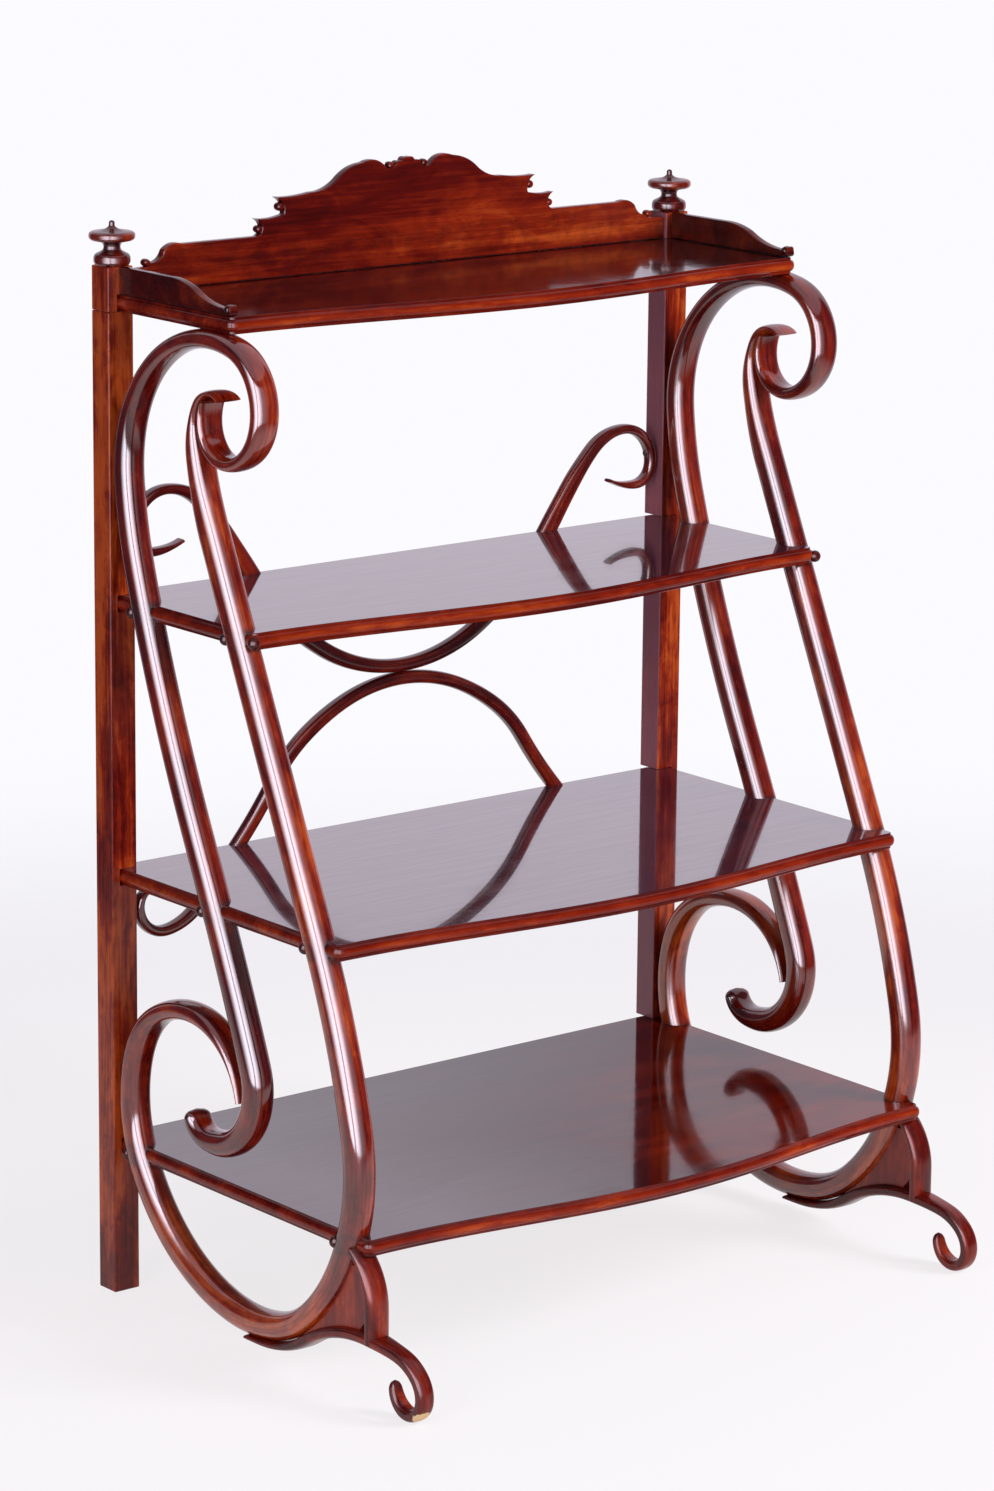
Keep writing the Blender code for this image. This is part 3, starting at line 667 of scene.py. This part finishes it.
def add_piece(name, points, quads, fans, finish, nodes, plank=None, age_and_shade=0.0, rub_and_painted_light=0.0,
              flat=0.0, crease=40.0):
    """Makes a piece from points in millimetres and lets it stand for its frame nodes."""
    points = np.asarray(points, float)
    quads, fans = outward(points, quads, fans)
    mesh = bpy.data.meshes.new(name)
    mesh.from_pydata((points * MM).tolist(), [], quads.tolist() + fans.tolist())
    values = points if plank is None else plank
    attribute = mesh.attributes.new("plank", "FLOAT_VECTOR", "POINT")
    attribute.data.foreach_set("vector", (values * MM).astype(np.float32).ravel())
    for label, mask in (("age_and_shade", age_and_shade), ("rub_and_painted_light", rub_and_painted_light), ("flat", flat)):
        keep_mask(mesh, label, np.broadcast_to(mask, len(points)))
    mesh.shade_smooth()
    mesh.set_sharp_from_angle(angle=math.radians(crease))
    mesh.materials.append(finish)
    piece = put_in_scene(name, mesh)
    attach(piece, "root")
    if nodes:
        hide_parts(*nodes)
    return piece


def dress(name, finish):
    """Gives a frame node that stays its finish."""
    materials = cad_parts[name].data.materials
    materials.clear()
    materials.append(finish)


def side_place(side):
    """Places (u, z, w) of a side frame, w being the distance across it."""
    return lambda u, z, w: np.stack([side * (ROD_X + w), POST_FRONT_Y - u + 0 * w, z + 0 * w], -1)


def back_place(x, z, w):
    """Places (x, z, w) of a back brace, w being the distance across it."""
    return np.stack([x + 0 * w, BRACE_Y + w, z + 0 * w], -1)


def age_by_height(z, shelves):
    """Dark polish where a rod passes a shelf: 0.6 at the shelf, a bell curve outside it."""
    age_and_shade = np.zeros_like(z)
    for shelf in shelves:
        low, high = span("shelf_" + shelf, 2)
        away = np.maximum(0, np.maximum(low - z, z - high))
        age_and_shade = np.maximum(age_and_shade, 0.6 * bell(away, 6.0))
    return age_and_shade


def add_rod(name, line, place, half_width, power, finish, nodes, shelves=(), tongue=0.0,
            groove=0.0, shift=0.0, flank_wear_and_light=0.0):
    """A rod or strip carried along a line, dark at the shelves, with painted shade over a tongue's
    last 40 mm.

    Its flanks are lighter, edge wear and painted light from the sides: the given share times the
    fourth power of the distance across, over its most.
    shift moves it to another part of the plank.
    """
    count = bpy.context.scene.etagere.rods.section
    grid, plank = carry(line, place, half_width, power, count, tongue, groove)
    points, quads, fans = tube(grid)
    plank = close_tube(plank)
    age_and_shade = age_by_height(points[:, 2], shelves)
    # Painted shade over a tongue's last 40 mm, which also roughens it
    if tongue:
        age_and_shade = np.maximum(age_and_shade, 0.7 * np.clip(1 - (line[-1, 4] - plank[:, 0]) / 40, 0, 1))
    # Lighter flanks: edge wear and painted light from the sides
    rub_and_painted_light = flank_wear_and_light * (plank[:, 2] / np.abs(plank[:, 2]).max()) ** 4
    plank = plank + (shift, shift * 0.37, 0)
    return add_piece(name, points, quads, fans, finish, nodes, plank, age_and_shade, rub_and_painted_light)


def add_beads(name, centres, sizes, finish, axis=2, power=2.0):
    """Small rounded beads in one piece.

    Each is a c1 (cos b, sin b) across its axis and d s1 along it, c1 and s1 being the cosine
    and sine of the rise raised to 2/power, so a power over 2 flattens its ends.
    """
    rise = np.linspace(-np.pi / 2, np.pi / 2, 17)[1:-1]
    turn = whole_turn(28)
    spread = bent(np.cos(rise), power)
    parts = [np.outer(spread, np.cos(turn)), np.outer(spread, np.sin(turn))]
    parts.insert(axis, np.outer(bent(np.sin(rise), power), np.ones(len(turn))))
    one, quads, fans = tube(np.stack(parts, -1))
    one[-2:, axis] = -1, 1
    centres, sizes = np.asarray(centres, float), np.asarray(sizes, float)
    points = (centres[:, None] + sizes[:, None] * one[None]).reshape(-1, 3)
    first = np.arange(len(centres))[:, None, None] * len(one)
    quads, fans = (quads + first).reshape(-1, 4), (fans + first).reshape(-1, 3)
    add_piece(name, points, quads, fans, finish, [], age_and_shade=0.25, crease=60)


def bowed_outline(half_width, corner_u, bow, radius, proud):
    """A shelf's outline from above, moved outward by proud on the front and sides.

    The front is corner + bow times the raised cosine of x, and each front corner is a quarter
    circle. Points are close enough together to show the curve.
    """
    x_round = half_width - radius
    turn = np.linspace(0, np.pi / 2, 9)
    corner_x = -x_round - (radius + proud) * np.cos(turn)
    corner_y = corner_u - radius + (radius + proud) * np.sin(turn)
    side_y = np.linspace(SHELF_BACK_U, corner_u - radius, 90)[:-1]
    side_x = np.full(side_y.shape, -half_width - proud)
    x = np.linspace(-x_round, 0, 61)[1:]
    front = corner_u + bow * 0.5 * (1 + np.cos(np.pi * x / x_round)) + proud
    half = np.column_stack([np.concatenate([side_x, corner_x, x]),
                            np.concatenate([side_y, corner_y, front])])
    mirrored = half[-2::-1] * (-1, 1)
    return np.concatenate([half, mirrored])


def edge_profile(thick, fillet, proud):
    """A shelf's edge from the underside up: fillet, half round, fillet, as (z, out) pairs."""
    soft = 0.5
    round_half = thick / 2 - fillet
    turn = np.radians(np.linspace(-72, 72, 13))
    rows = [(0, -soft), (soft, 0), (fillet - 0.3, 0.0)]
    rows += list(zip(thick / 2 + round_half * np.sin(turn), proud * np.cos(turn)))
    rows += [(thick - fillet + 0.3, 0.0), (thick - soft, 0), (thick, -soft)]
    return np.array(rows)


# Operators
class ETAGERE_OT_posts(Operator):
    """Gives the back posts and cap blocks their polished wood with upright grain"""
    bl_idname = "etagere.posts"
    bl_label = "Posts"

    def execute(self, context):
        for tag in SIDES:
            for part in ("back_post_", "cap_block_"):
                dress(part + tag, wood("post wood"))
        return {"FINISHED"}


class ETAGERE_OT_shelves(Operator):
    """Builds the four bow-fronted shelves with their half-round edges"""
    bl_idname = "etagere.shelves"
    bl_label = "Shelves"

    def execute(self, context):
        look = context.scene.etagere.shelves
        profile = edge_profile(SHELF_THICK, look.fillet / MM, look.proud / MM)
        for shelf, (half_width, corner_u, bow, mirror) in SHELVES.items():
            low, high = span("shelf_" + shelf, 2)
            base, *outlines = [bowed_outline(half_width, corner_u, bow, look.corner / MM, proud)
                               for proud in (0, *profile[:, 1])]
            centre = np.array([0.0, (SHELF_BACK_U + corner_u) / 2])
            room = np.array([half_width, (corner_u - SHELF_BACK_U) / 2])
            flats = [centre + (base - centre) * (1 - inset / room) for inset in SHELF_RINGS]
            levels = [low] * len(flats) + list(low + profile[:, 0]) + [high] * len(flats)
            loops = flats[::-1] + outlines + flats
            grid = np.stack([np.column_stack([loop[:, 0], POST_FRONT_Y - loop[:, 1],
                                              np.full(len(loop), level)])
                             for loop, level in zip(loops, levels)])
            points, quads, fans = tube(grid)
            age_and_shade, rub_and_painted_light, flat = shelf_masks(points, low)
            if shelf == "bottom":
                start, end, share = BOTTOM_WORN
                mirror = mirror * (1 - share * np.clip((points[:, 0] - start) / (end - start), 0, 1))
            shift = (9.0 * corner_u, 13.0 * corner_u, 0)   # another part of the plank for each
            add_piece("bowed_" + shelf + "_shelf", points, quads, fans, wood("shelf wood"),
                      ["shelf_" + shelf], points + shift, age_and_shade, rub_and_painted_light, flat * mirror, crease=28)
        return {"FINISHED"}


def shelf_masks(points, low):
    """Age round the rods' crossings and in the fillets, rub on the half round, and the flats.

    Each is a bell curve: over the height for fillets and half round, over the distance from
    the rod for the crossings.
    """
    x, y, z = points.T
    u = POST_FRONT_Y - y
    rise = (z - low) / SHELF_THICK
    edge = np.abs(rise - 0.5) * 2
    flat = (rise < 0.01) | (rise > 0.99)
    rub_and_painted_light = np.where(flat, 0.0, 0.6 * bell(edge, 0.5))
    age_and_shade = np.where(flat, 0.0, 0.75 * bell(edge - 0.82, 0.16))
    for at_u in crossings(low + SHELF_THICK / 2):
        away = np.hypot(np.abs(x) - ROD_X, u - at_u) - 16
        age_and_shade = np.maximum(age_and_shade, 0.85 * bell(np.maximum(away, 0), 5))
    return age_and_shade, rub_and_painted_light, flat


def crossings(height):
    """The u at which each pass of the scroll rods goes through a height."""
    found = []
    for scroll in (REAR_SCROLL, FRONT_SCROLL):
        u, z = trace(scroll, 2.0).T[:2]
        at = np.nonzero((z[1:] - height) * (z[:-1] - height) < 0)[0]
        found += list(u[at])
    return found


class ETAGERE_OT_galleries(Operator):
    """Builds the shaped backboard and the two low side panels of the tray"""
    bl_idname = "etagere.galleries"
    bl_label = "Galleries"

    def execute(self, context):
        half = bowed_line(BACK_OUTLINE)
        outline = np.concatenate([half, half[:0:-1] * (-1, 1)])
        front, back = span("back_gallery", 1)
        add_board("shaped_backboard", outline, front, back, wood("gallery wood"), "back_gallery",
                  lambda out, rise, y: (out, y, TRAY_Z + rise))
        centres = [(side * out, (front + back) / 2, TRAY_Z + rise)
                   for side in SIDES.values() for out, rise, _ in BACK_BEADS]
        sizes = [(radius, (back - front) / 2 + 0.5, radius) for _, _, radius in BACK_BEADS] * 2
        add_beads("backboard_beads", centres, sizes, wood("gallery wood"), axis=1,
                  power=3.0)
        line = bowed_line(SIDE_OUTLINE)
        out, rise, radius = SIDE_BEAD
        for tag in SIDES:
            name = "side_gallery_" + tag
            low, high = span(name, 0)
            add_board("tray_side_" + tag, line, low, high, wood("side gallery wood"), name,
                      lambda forward, rise, x: (x, POST_FRONT_Y - forward, TRAY_Z + rise))
            centre = ((low + high) / 2, POST_FRONT_Y - out, TRAY_Z + rise)
            size = ((high - low) / 2 + 1.5, radius, radius)
            add_beads("tray_bead_" + tag, [centre], [size], wood("side gallery wood"),
                      axis=0, power=2.2)
        return {"FINISHED"}


def bowed_line(table, steps=12):
    """A line through corners, each stretch bowed as a parabola by its rise over half a chord."""
    across, height, bulge = (np.asarray(column, float) for column in table)
    t = np.arange(steps) / steps
    rise = bulge[:-1, None] * 2 * t * (1 - t)
    da, db = np.diff(across)[:, None], np.diff(height)[:, None]
    a = across[:-1, None] + da * t + rise * db
    b = height[:-1, None] + db * t - rise * da
    return np.column_stack([np.append(a, across[-1]), np.append(b, height[-1])])


def even_loop(outline, spacing=1.0, width=0.9):
    """A closed outline at even spacing, its corners softened by a bell-curve mean."""
    closed = np.concatenate([outline, outline[:1]])
    s = running_sum(np.hypot(*np.diff(closed, axis=0).T))
    count = int(s[-1] / spacing)
    at = np.arange(count) * s[-1] / count
    loop = np.column_stack([np.interp(at, s, closed[:, i]) for i in (0, 1)])
    shifts = np.arange(-3, 4)
    weights = bell(shifts, math.sqrt(2) * width)
    rolled = [weight * np.roll(loop, shift, 0) for weight, shift in zip(weights, shifts)]
    return sum(rolled) / weights.sum()


def tip_room(loop, hand, edge):
    """How far each point may move inward: the edge radius, less towards a sharp tip.

    A tip is where the outline turns outward by more than 35 degrees over four steps; the
    room grows from it by a fifth of the steps along the outline.
    """
    along = np.roll(loop, -2, 0) - np.roll(loop, 1, 0)
    heading = np.arctan2(along[:, 1], along[:, 0])
    turn = hand * ((np.roll(heading, -2) - np.roll(heading, 2) + np.pi) % (2 * np.pi) - np.pi)
    tips = np.nonzero(turn > np.radians(35))[0]
    apart = np.abs(np.arange(len(loop))[:, None] - tips[None, :])
    away = np.minimum(apart, len(loop) - apart).min(1)
    return np.minimum(edge, 0.1 + 0.2 * away)[:, None]


def add_board(name, outline, low, high, finish, stands_for, place):
    """A board of the tray, from low to high, its outline carried over two quarter-round edges.

    Ring by ring the outline moves inward by 1 - sin a of the edge's radius, less at sharp tips,
    and into the depth by 1 - cos a. It is dark at the tray's floor and on the low shoulders, and
    lighter a little above the floor: painted light thrown up from the tray.
    """
    edge = bpy.context.scene.etagere.galleries.edge / MM
    loop = even_loop(outline)
    along = np.roll(loop, -1, 0) - np.roll(loop, 1, 0)
    along /= np.hypot(*along.T)[:, None]
    inward = np.column_stack([along[:, 1], -along[:, 0]])
    area = np.sum(loop[:, 0] * np.roll(loop[:, 1], -1) - loop[:, 1] * np.roll(loop[:, 0], -1))
    inward *= -np.sign(area)
    room = tip_room(loop, np.sign(area), edge)
    turn = np.linspace(0, np.pi / 2, 5)
    inset = 1 - np.sin(turn)
    depth = edge * (1 - np.cos(turn))
    stack = list(zip(inset, low + depth)) + list(zip(inset[::-1], high - depth[::-1]))
    rings = [np.stack(np.broadcast_arrays(*place(*(loop + inward * (room * share)).T, d)), -1)
             for share, d in stack]
    points = np.concatenate(rings)
    quads, _ = tube_faces(len(rings), len(loop))
    height = points[:, 2] - TRAY_Z
    shoulder = np.clip((np.abs(points[:, 0]) - 180) / 70, 0, 1)
    age_and_shade = np.maximum(0.7 * bell(height, 2), 0.42 * shoulder)
    # Painted light: a lighter band a little above the tray's floor, as thrown up from it
    rub_and_painted_light = 0.9 * bell(height - 13, 9)
    board = add_piece(name, points, quads, np.zeros((0, 3), int), finish, [stands_for],
                      age_and_shade=age_and_shade, rub_and_painted_light=rub_and_painted_light, crease=50)
    cap_ends(board.data, len(loop))


def cap_ends(mesh, count):
    """Closes a board with two flat faces on its first and last count points."""
    bm = bmesh.new()
    bm.from_mesh(mesh)
    bm.verts.ensure_lookup_table()
    for ring in (bm.verts[:count][::-1], bm.verts[-count:]):
        bm.faces.new(ring).smooth = False
    bmesh.ops.recalc_face_normals(bm, faces=bm.faces)
    bm.to_mesh(mesh)
    bm.free()


class ETAGERE_OT_finials(Operator):
    """Turns the two finials: the softened profile about its axis, dark in the narrow hollows"""
    bl_idname = "etagere.finials"
    bl_label = "Finials"

    def execute(self, context):
        radius, height = np.array(FINIAL_PROFILE).T
        most = radius.max(), height.max()
        steps = running_sum(np.hypot(np.diff(radius), np.diff(height)))
        s = np.linspace(0, steps[-1], 150)
        radius = np.clip(soften(np.interp(s, steps, radius), 2.0), 0.02, most[0])
        height = np.clip(soften(np.interp(s, steps, height), 2.0), 0.1, most[1])
        angle = whole_turn(72)
        for tag, side in SIDES.items():
            points, quads, fans = tube(np.stack(
                [side * POST_X + np.outer(radius, np.cos(angle)),
                 POST_AXIS_Y + np.outer(radius, np.sin(angle)),
                 CAP_TOP + np.outer(height, np.ones(len(angle)))], -1))
            ring = np.append(np.repeat(radius, len(angle)), (0, radius[-1]))
            age_and_shade = np.clip(1.3 - ring / 14, 0, 0.55) * (points[:, 2] < CAP_TOP + 34)
            rub_and_painted_light = np.clip((ring - 19) / 6, 0, 0.7)
            add_piece("turned_finial_" + tag, points, quads, fans, wood("turned wood"),
                      ["finial_" + tag], points[:, [2, 0, 1]] + side * 40, age_and_shade, rub_and_painted_light, crease=60)
        return {"FINISHED"}


class ETAGERE_OT_scrolls(Operator):
    """Carries the oval section along the four long scroll rods"""
    bl_idname = "etagere.scrolls"
    bl_label = "Scroll rods"

    def execute(self, context):
        rods = context.scene.etagere.rods
        pairs = (("rear", trace(REAR_SCROLL, rods.step / MM), wood("rod wood"), 9.0, 1480.0),
                 ("front", trace(FRONT_SCROLL, rods.step / MM), wood("front rod wood"), 0.0, 1850.0))
        for tag, side in SIDES.items():
            for rod, line, finish, tongue, shift in pairs:
                # Lighter flanks: edge wear and painted light from the sides
                add_rod("scroll_rod_%s_%s" % (rod, tag), line, side_place(side), ROD_WIDTH / 2,
                        rods.roundness, finish, ["%s_scroll_%s" % (rod, tag)], ROD_SHELVES,
                        tongue=tongue, shift=shift + side * 900.0, flank_wear_and_light=0.2)
        return {"FINISHED"}


class ETAGERE_OT_feet(Operator):
    """Builds the curled foot strips and their brackets, and polishes the webs between"""
    bl_idname = "etagere.feet"
    bl_label = "Feet"

    def execute(self, context):
        rods = context.scene.etagere.rods
        strip = trace(FOOT_SCROLL, rods.step / MM)
        spread = trace(FOOT_SPREAD, rods.step / MM)[:, 3]
        bracket = trace(BRACKET, rods.step / MM)
        curl_front = (strip[:, 0] + strip[:, 3]).max()
        chip = np.array((-(ROD_X + 2), POST_FRONT_Y - curl_front + 8, 9)) * MM
        chipped = polished_wood("chipped foot wood", **WOODS["foot wood"], chip=chip.tolist())
        for tag, side in SIDES.items():
            add_rod("foot_strip_" + tag, strip, side_place(side), spread, rods.strip_roundness,
                    chipped if tag == "left" else wood("foot wood"), ["foot_scroll_" + tag],
                    tongue=9.0, groove=0.6, shift=side * 500.0 + 77)
            add_rod("corner_bracket_" + tag, bracket, side_place(side), BRACKET_WIDTH / 2,
                    rods.bracket_roundness, wood("foot wood"), ["foot_bracket_" + tag],
                    ("bottom",), shift=side * 300.0 + 33)
            dress("foot_web_" + tag, wood("web wood"))
        return {"FINISHED"}


class ETAGERE_OT_braces(Operator):
    """Builds the two curved braces between the back posts"""
    bl_idname = "etagere.braces"
    bl_label = "Back braces"

    def execute(self, context):
        rods = context.scene.etagere.rods
        for name, scroll, shelf, shift in (("upper", UPPER_BRACE, "second", 2580.0),
                                           ("lower", LOWER_BRACE, "third", 2150.0)):
            right = trace(scroll, rods.step / MM)
            left = right[:0:-1] * (-1, 1, -1, 1, -1)
            line = np.concatenate([left, right])
            add_rod(name + "_back_brace", line, back_place, BRACE_DEPTH / 2, rods.strip_roundness,
                    wood("rod wood"), [name + "_brace"], (shelf,), shift=shift)
        return {"FINISHED"}


class ETAGERE_OT_fixings(Operator):
    """Darkens the upper brace's screws and builds the balls where the rods pass the shelves"""
    bl_idname = "etagere.fixings"
    bl_label = "Fixings"

    def execute(self, context):
        steel = dark_steel("dark steel")
        radius = context.scene.etagere.rods.bead / MM
        for tag, side in SIDES.items():
            dress("brace_screw_" + tag, steel)
            centres = np.array(joint_places()) * (side, 1, 1)
            sizes = np.full(centres.shape, radius)
            add_beads("joint_beads_" + tag, centres, sizes, wood("bead wood"))
        return {"FINISHED"}


def joint_places():
    """Centres of the right side's balls: two where each rod passes a shelf.

    One is behind the rod's outer flank, the other before its inner flank, or at the shelf's
    front corner where that is nearer than a rod's width.
    """
    centres = []
    for shelf in ROD_SHELVES:
        height = sum(span("shelf_" + shelf, 2)) / 2 - 3
        corner_u = SHELVES[shelf][1]
        for at_u in crossings(height):
            inner_x, forward = ROD_X - ROD_WIDTH / 2 + 1, at_u + 12
            if abs(at_u - corner_u) < ROD_WIDTH:
                inner_x, forward = ROD_X + 5, corner_u + 2
            centres.append((ROD_X + ROD_WIDTH / 2 - 6, POST_FRONT_Y - at_u + 14, height))
            centres.append((inner_x, POST_FRONT_Y - forward, height + 2))
    return centres


class ETAGERE_OT_stage(Operator):
    """Lays the pale floor and sets the soft lamps, the world and the camera"""
    bl_idname = "etagere.stage"
    bl_label = "Stage"

    def execute(self, context):
        look = context.scene.etagere.stage
        lay_floor(look)
        hang_curtain()
        hang_screen(look.screen)
        hang_lamp("key lamp", KEY_PLACE, KEY_SIZE, look.key_power)
        hang_lamp("fill lamp", FILL_PLACE, FILL_SIZE, look.fill_power)
        light_world(look)
        set_camera()
        context.scene.view_settings.view_transform = "Standard"
        return {"FINISHED"}


def lay_floor(look):
    """A level disc: z is 0 and (x, y) is r (cos a, sin a).

    Its rim fades into the backdrop, and rays that look at it see it partly as plain paper.
    """
    angle = whole_turn(96)
    rim = np.column_stack([np.cos(angle), np.sin(angle), 0 * angle]) * FLOOR_REACH
    mesh = bpy.data.meshes.new("floor")
    mesh.from_pydata(rim.tolist(), [], [list(range(len(rim)))])
    floor = put_in_scene("floor", mesh)
    mat, tree, shader = new_material("floor paper", Base_Color=look.floor, Roughness=0.7,
                                     Specular_IOR_Level=0.2)
    away = node(tree, "VectorMath", {0: object_place(tree)}, operation="LENGTH").outputs["Value"]
    seen = ray_seen(tree, node(tree, "LightPath").outputs)
    tint = blend(tree, remap(tree, away, 0.7, 1.7), (0.98, 0.955, 0.975, 1), (0.90, 0.88, 0.925, 1))
    plain = node(tree, "Emission", {"Color": tint, "Strength": 1.0})
    paper = node(tree, "MixShader", {0: times(tree, seen, 0.8),
                                     1: shader.outputs[0], 2: plain.outputs[0]})
    clear = node(tree, "BsdfTransparent")
    faded = node(tree, "MixShader", {0: remap(tree, away, 1.0, 2.6),
                                     1: paper.outputs[0], 2: clear.outputs[0]})
    tree.links.new(faded.outputs[0], tree.nodes["Material Output"].inputs["Surface"])
    mesh.materials.append(mat)


def hang_wall(name, degrees, reach, low, high, finish):
    """An upright curved wall that only the polish mirrors; gives its mesh.

    (x, y) is reach (cos a, sin a) over the angles, and z runs from low to high.
    """
    angle = np.radians(degrees)
    edges = [np.column_stack([reach * np.cos(angle), reach * np.sin(angle),
                              np.full(len(angle), height)]) for height in (low, high)]
    rows = np.arange(len(angle) - 1)[:, None] * 2 + np.array([0, 2, 3, 1])
    mesh = bpy.data.meshes.new(name)
    mesh.from_pydata(np.stack(edges, 1).reshape(-1, 3).tolist(), [], rows.tolist())
    mesh.materials.append(finish)
    wall = put_in_scene(name, mesh)
    wall.visible_camera = False
    wall.visible_diffuse = False
    wall.visible_shadow = False
    return mesh


def hang_curtain():
    """A dark curtain round the camera's side of the room."""
    middle = math.degrees(math.atan2(CAMERA_PLACE[1], CAMERA_PLACE[0]))
    cloth, _, _ = new_material("curtain cloth", Base_Color=(0.13, 0.09, 0.14, 1), Roughness=0.9)
    hang_wall("curtain", middle + np.linspace(-CURTAIN_SWEEP, CURTAIN_SWEEP, 48), CURTAIN_REACH,
              -4.0, 5.0, cloth)


def hang_screen(brightness):
    """A tall bright screen at the left.

    Its glow over the angle rises slowly, has one narrow dark gap as between two windows, and
    falls off slowly towards the camera's right: a product of smooth steps.
    """
    turn = np.arange(SCREEN_START, SCREEN_END + 0.5, 0.5)

    def step(low, high):
        t = np.clip((turn - low) / (high - low), 0, 1)
        return t * t * (3 - 2 * t)

    paper, tree, shader = new_material(
        "screen glow", Base_Color=(0, 0, 0, 1), Specular_IOR_Level=0.0,
        Emission_Color=(0.90, 0.88, 1.0, 1))
    feed(tree, shader, {"Emission Strength": times(tree, kept_mask(tree, "glow"), brightness)})
    mesh = hang_wall("screen", turn, SCREEN_REACH, 0.05, 2.5, paper)
    glow = step(SCREEN_START, 200) * (1 - 0.90 * step(222, 264)) * (1 - step(264, 298))
    glow *= 1 - 0.92 * bell(turn - SCREEN_GAP, 4)
    keep_mask(mesh, "glow", np.repeat(glow, 2))


def hang_lamp(name, place, size, power):
    """A large soft lamp turned towards the etagere; gloss leaves it out."""
    lamp = bpy.data.lights.new(name, "AREA")
    lamp.shape = "RECTANGLE"
    lamp.size, lamp.size_y = size
    lamp.energy = power
    holder = put_in_scene(name, lamp)
    holder.location = place
    view = Vector(LAMP_AIM) - Vector(place)
    holder.rotation_euler = view.to_track_quat("-Z", "Y").to_euler()
    holder.visible_camera = False
    holder.visible_glossy = False


def light_world(look):
    """White where the camera, gloss and glass look, a softer even light on the surfaces."""
    world = bpy.data.worlds.new("studio")
    bpy.context.scene.world = world
    world.use_nodes = True
    tree = world.node_tree
    rays = node(tree, "LightPath").outputs
    strength = maths(tree, "MAXIMUM", ray_seen(tree, rays), look.ambient)
    colour = blend(tree, rays["Is Glossy Ray"], (0.97, 0.965, 1.0, 1), (0.95, 0.87, 1.0, 1))
    feed(tree, tree.nodes["Background"], {"Color": colour, "Strength": strength})


def set_camera():
    """The camera, looking straight down at first, is rolled, tilted up, turned and put in place."""
    turn = Matrix.Rotation(-CAMERA_YAW, 4, "Z")
    tilt = Matrix.Rotation(math.pi / 2 - CAMERA_PITCH, 4, "X")
    roll = Matrix.Rotation(CAMERA_ROLL, 4, "Z")
    data = bpy.data.cameras.new("camera")
    data.lens = CAMERA_LENS
    data.sensor_width = 36.0
    data.clip_end = 100.0
    camera = put_in_scene("camera", data)
    camera.matrix_world = Matrix.Translation(CAMERA_PLACE) @ turn @ tilt @ roll
    bpy.context.scene.camera = camera


class ETAGERE_PT_panel(Panel):
    """Lists the pieces and the sizes and colours they use"""
    bl_idname = "ETAGERE_PT_panel"
    bl_label = "Etagere"
    bl_space_type = "VIEW_3D"
    bl_region_type = "UI"
    bl_category = "Etagere"

    def draw(self, context):
        for operator in OPERATORS:
            self.layout.operator(operator.bl_idname)
        for group in ("finish", "rods", "shelves", "galleries", "stage"):
            box = self.layout.box()
            held = getattr(context.scene.etagere, group)
            for name in held.__annotations__:
                box.prop(held, name)


OPERATORS = (ETAGERE_OT_posts, ETAGERE_OT_shelves, ETAGERE_OT_galleries, ETAGERE_OT_finials,
             ETAGERE_OT_scrolls, ETAGERE_OT_feet, ETAGERE_OT_braces, ETAGERE_OT_fixings,
             ETAGERE_OT_stage)
CLASSES = (EtagereFinish, EtagereRods, EtagereShelves, EtagereGalleries, EtagereStage,
           EtagereSettings) + OPERATORS + (ETAGERE_PT_panel,)


def register():
    """Makes the classes and the scene's settings known."""
    for cls in CLASSES:
        bpy.utils.register_class(cls)
    bpy.types.Scene.etagere = PointerProperty(type=EtagereSettings)


def unregister():
    """Takes them back."""
    del bpy.types.Scene.etagere
    for cls in reversed(CLASSES):
        bpy.utils.unregister_class(cls)


def main():
    """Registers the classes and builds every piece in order."""
    register()
    bpy.ops.etagere.posts()
    bpy.ops.etagere.shelves()
    bpy.ops.etagere.galleries()
    bpy.ops.etagere.finials()
    bpy.ops.etagere.scrolls()
    bpy.ops.etagere.feet()
    bpy.ops.etagere.braces()
    bpy.ops.etagere.fixings()
    bpy.ops.etagere.stage()


if __name__ == "__main__":
    main()
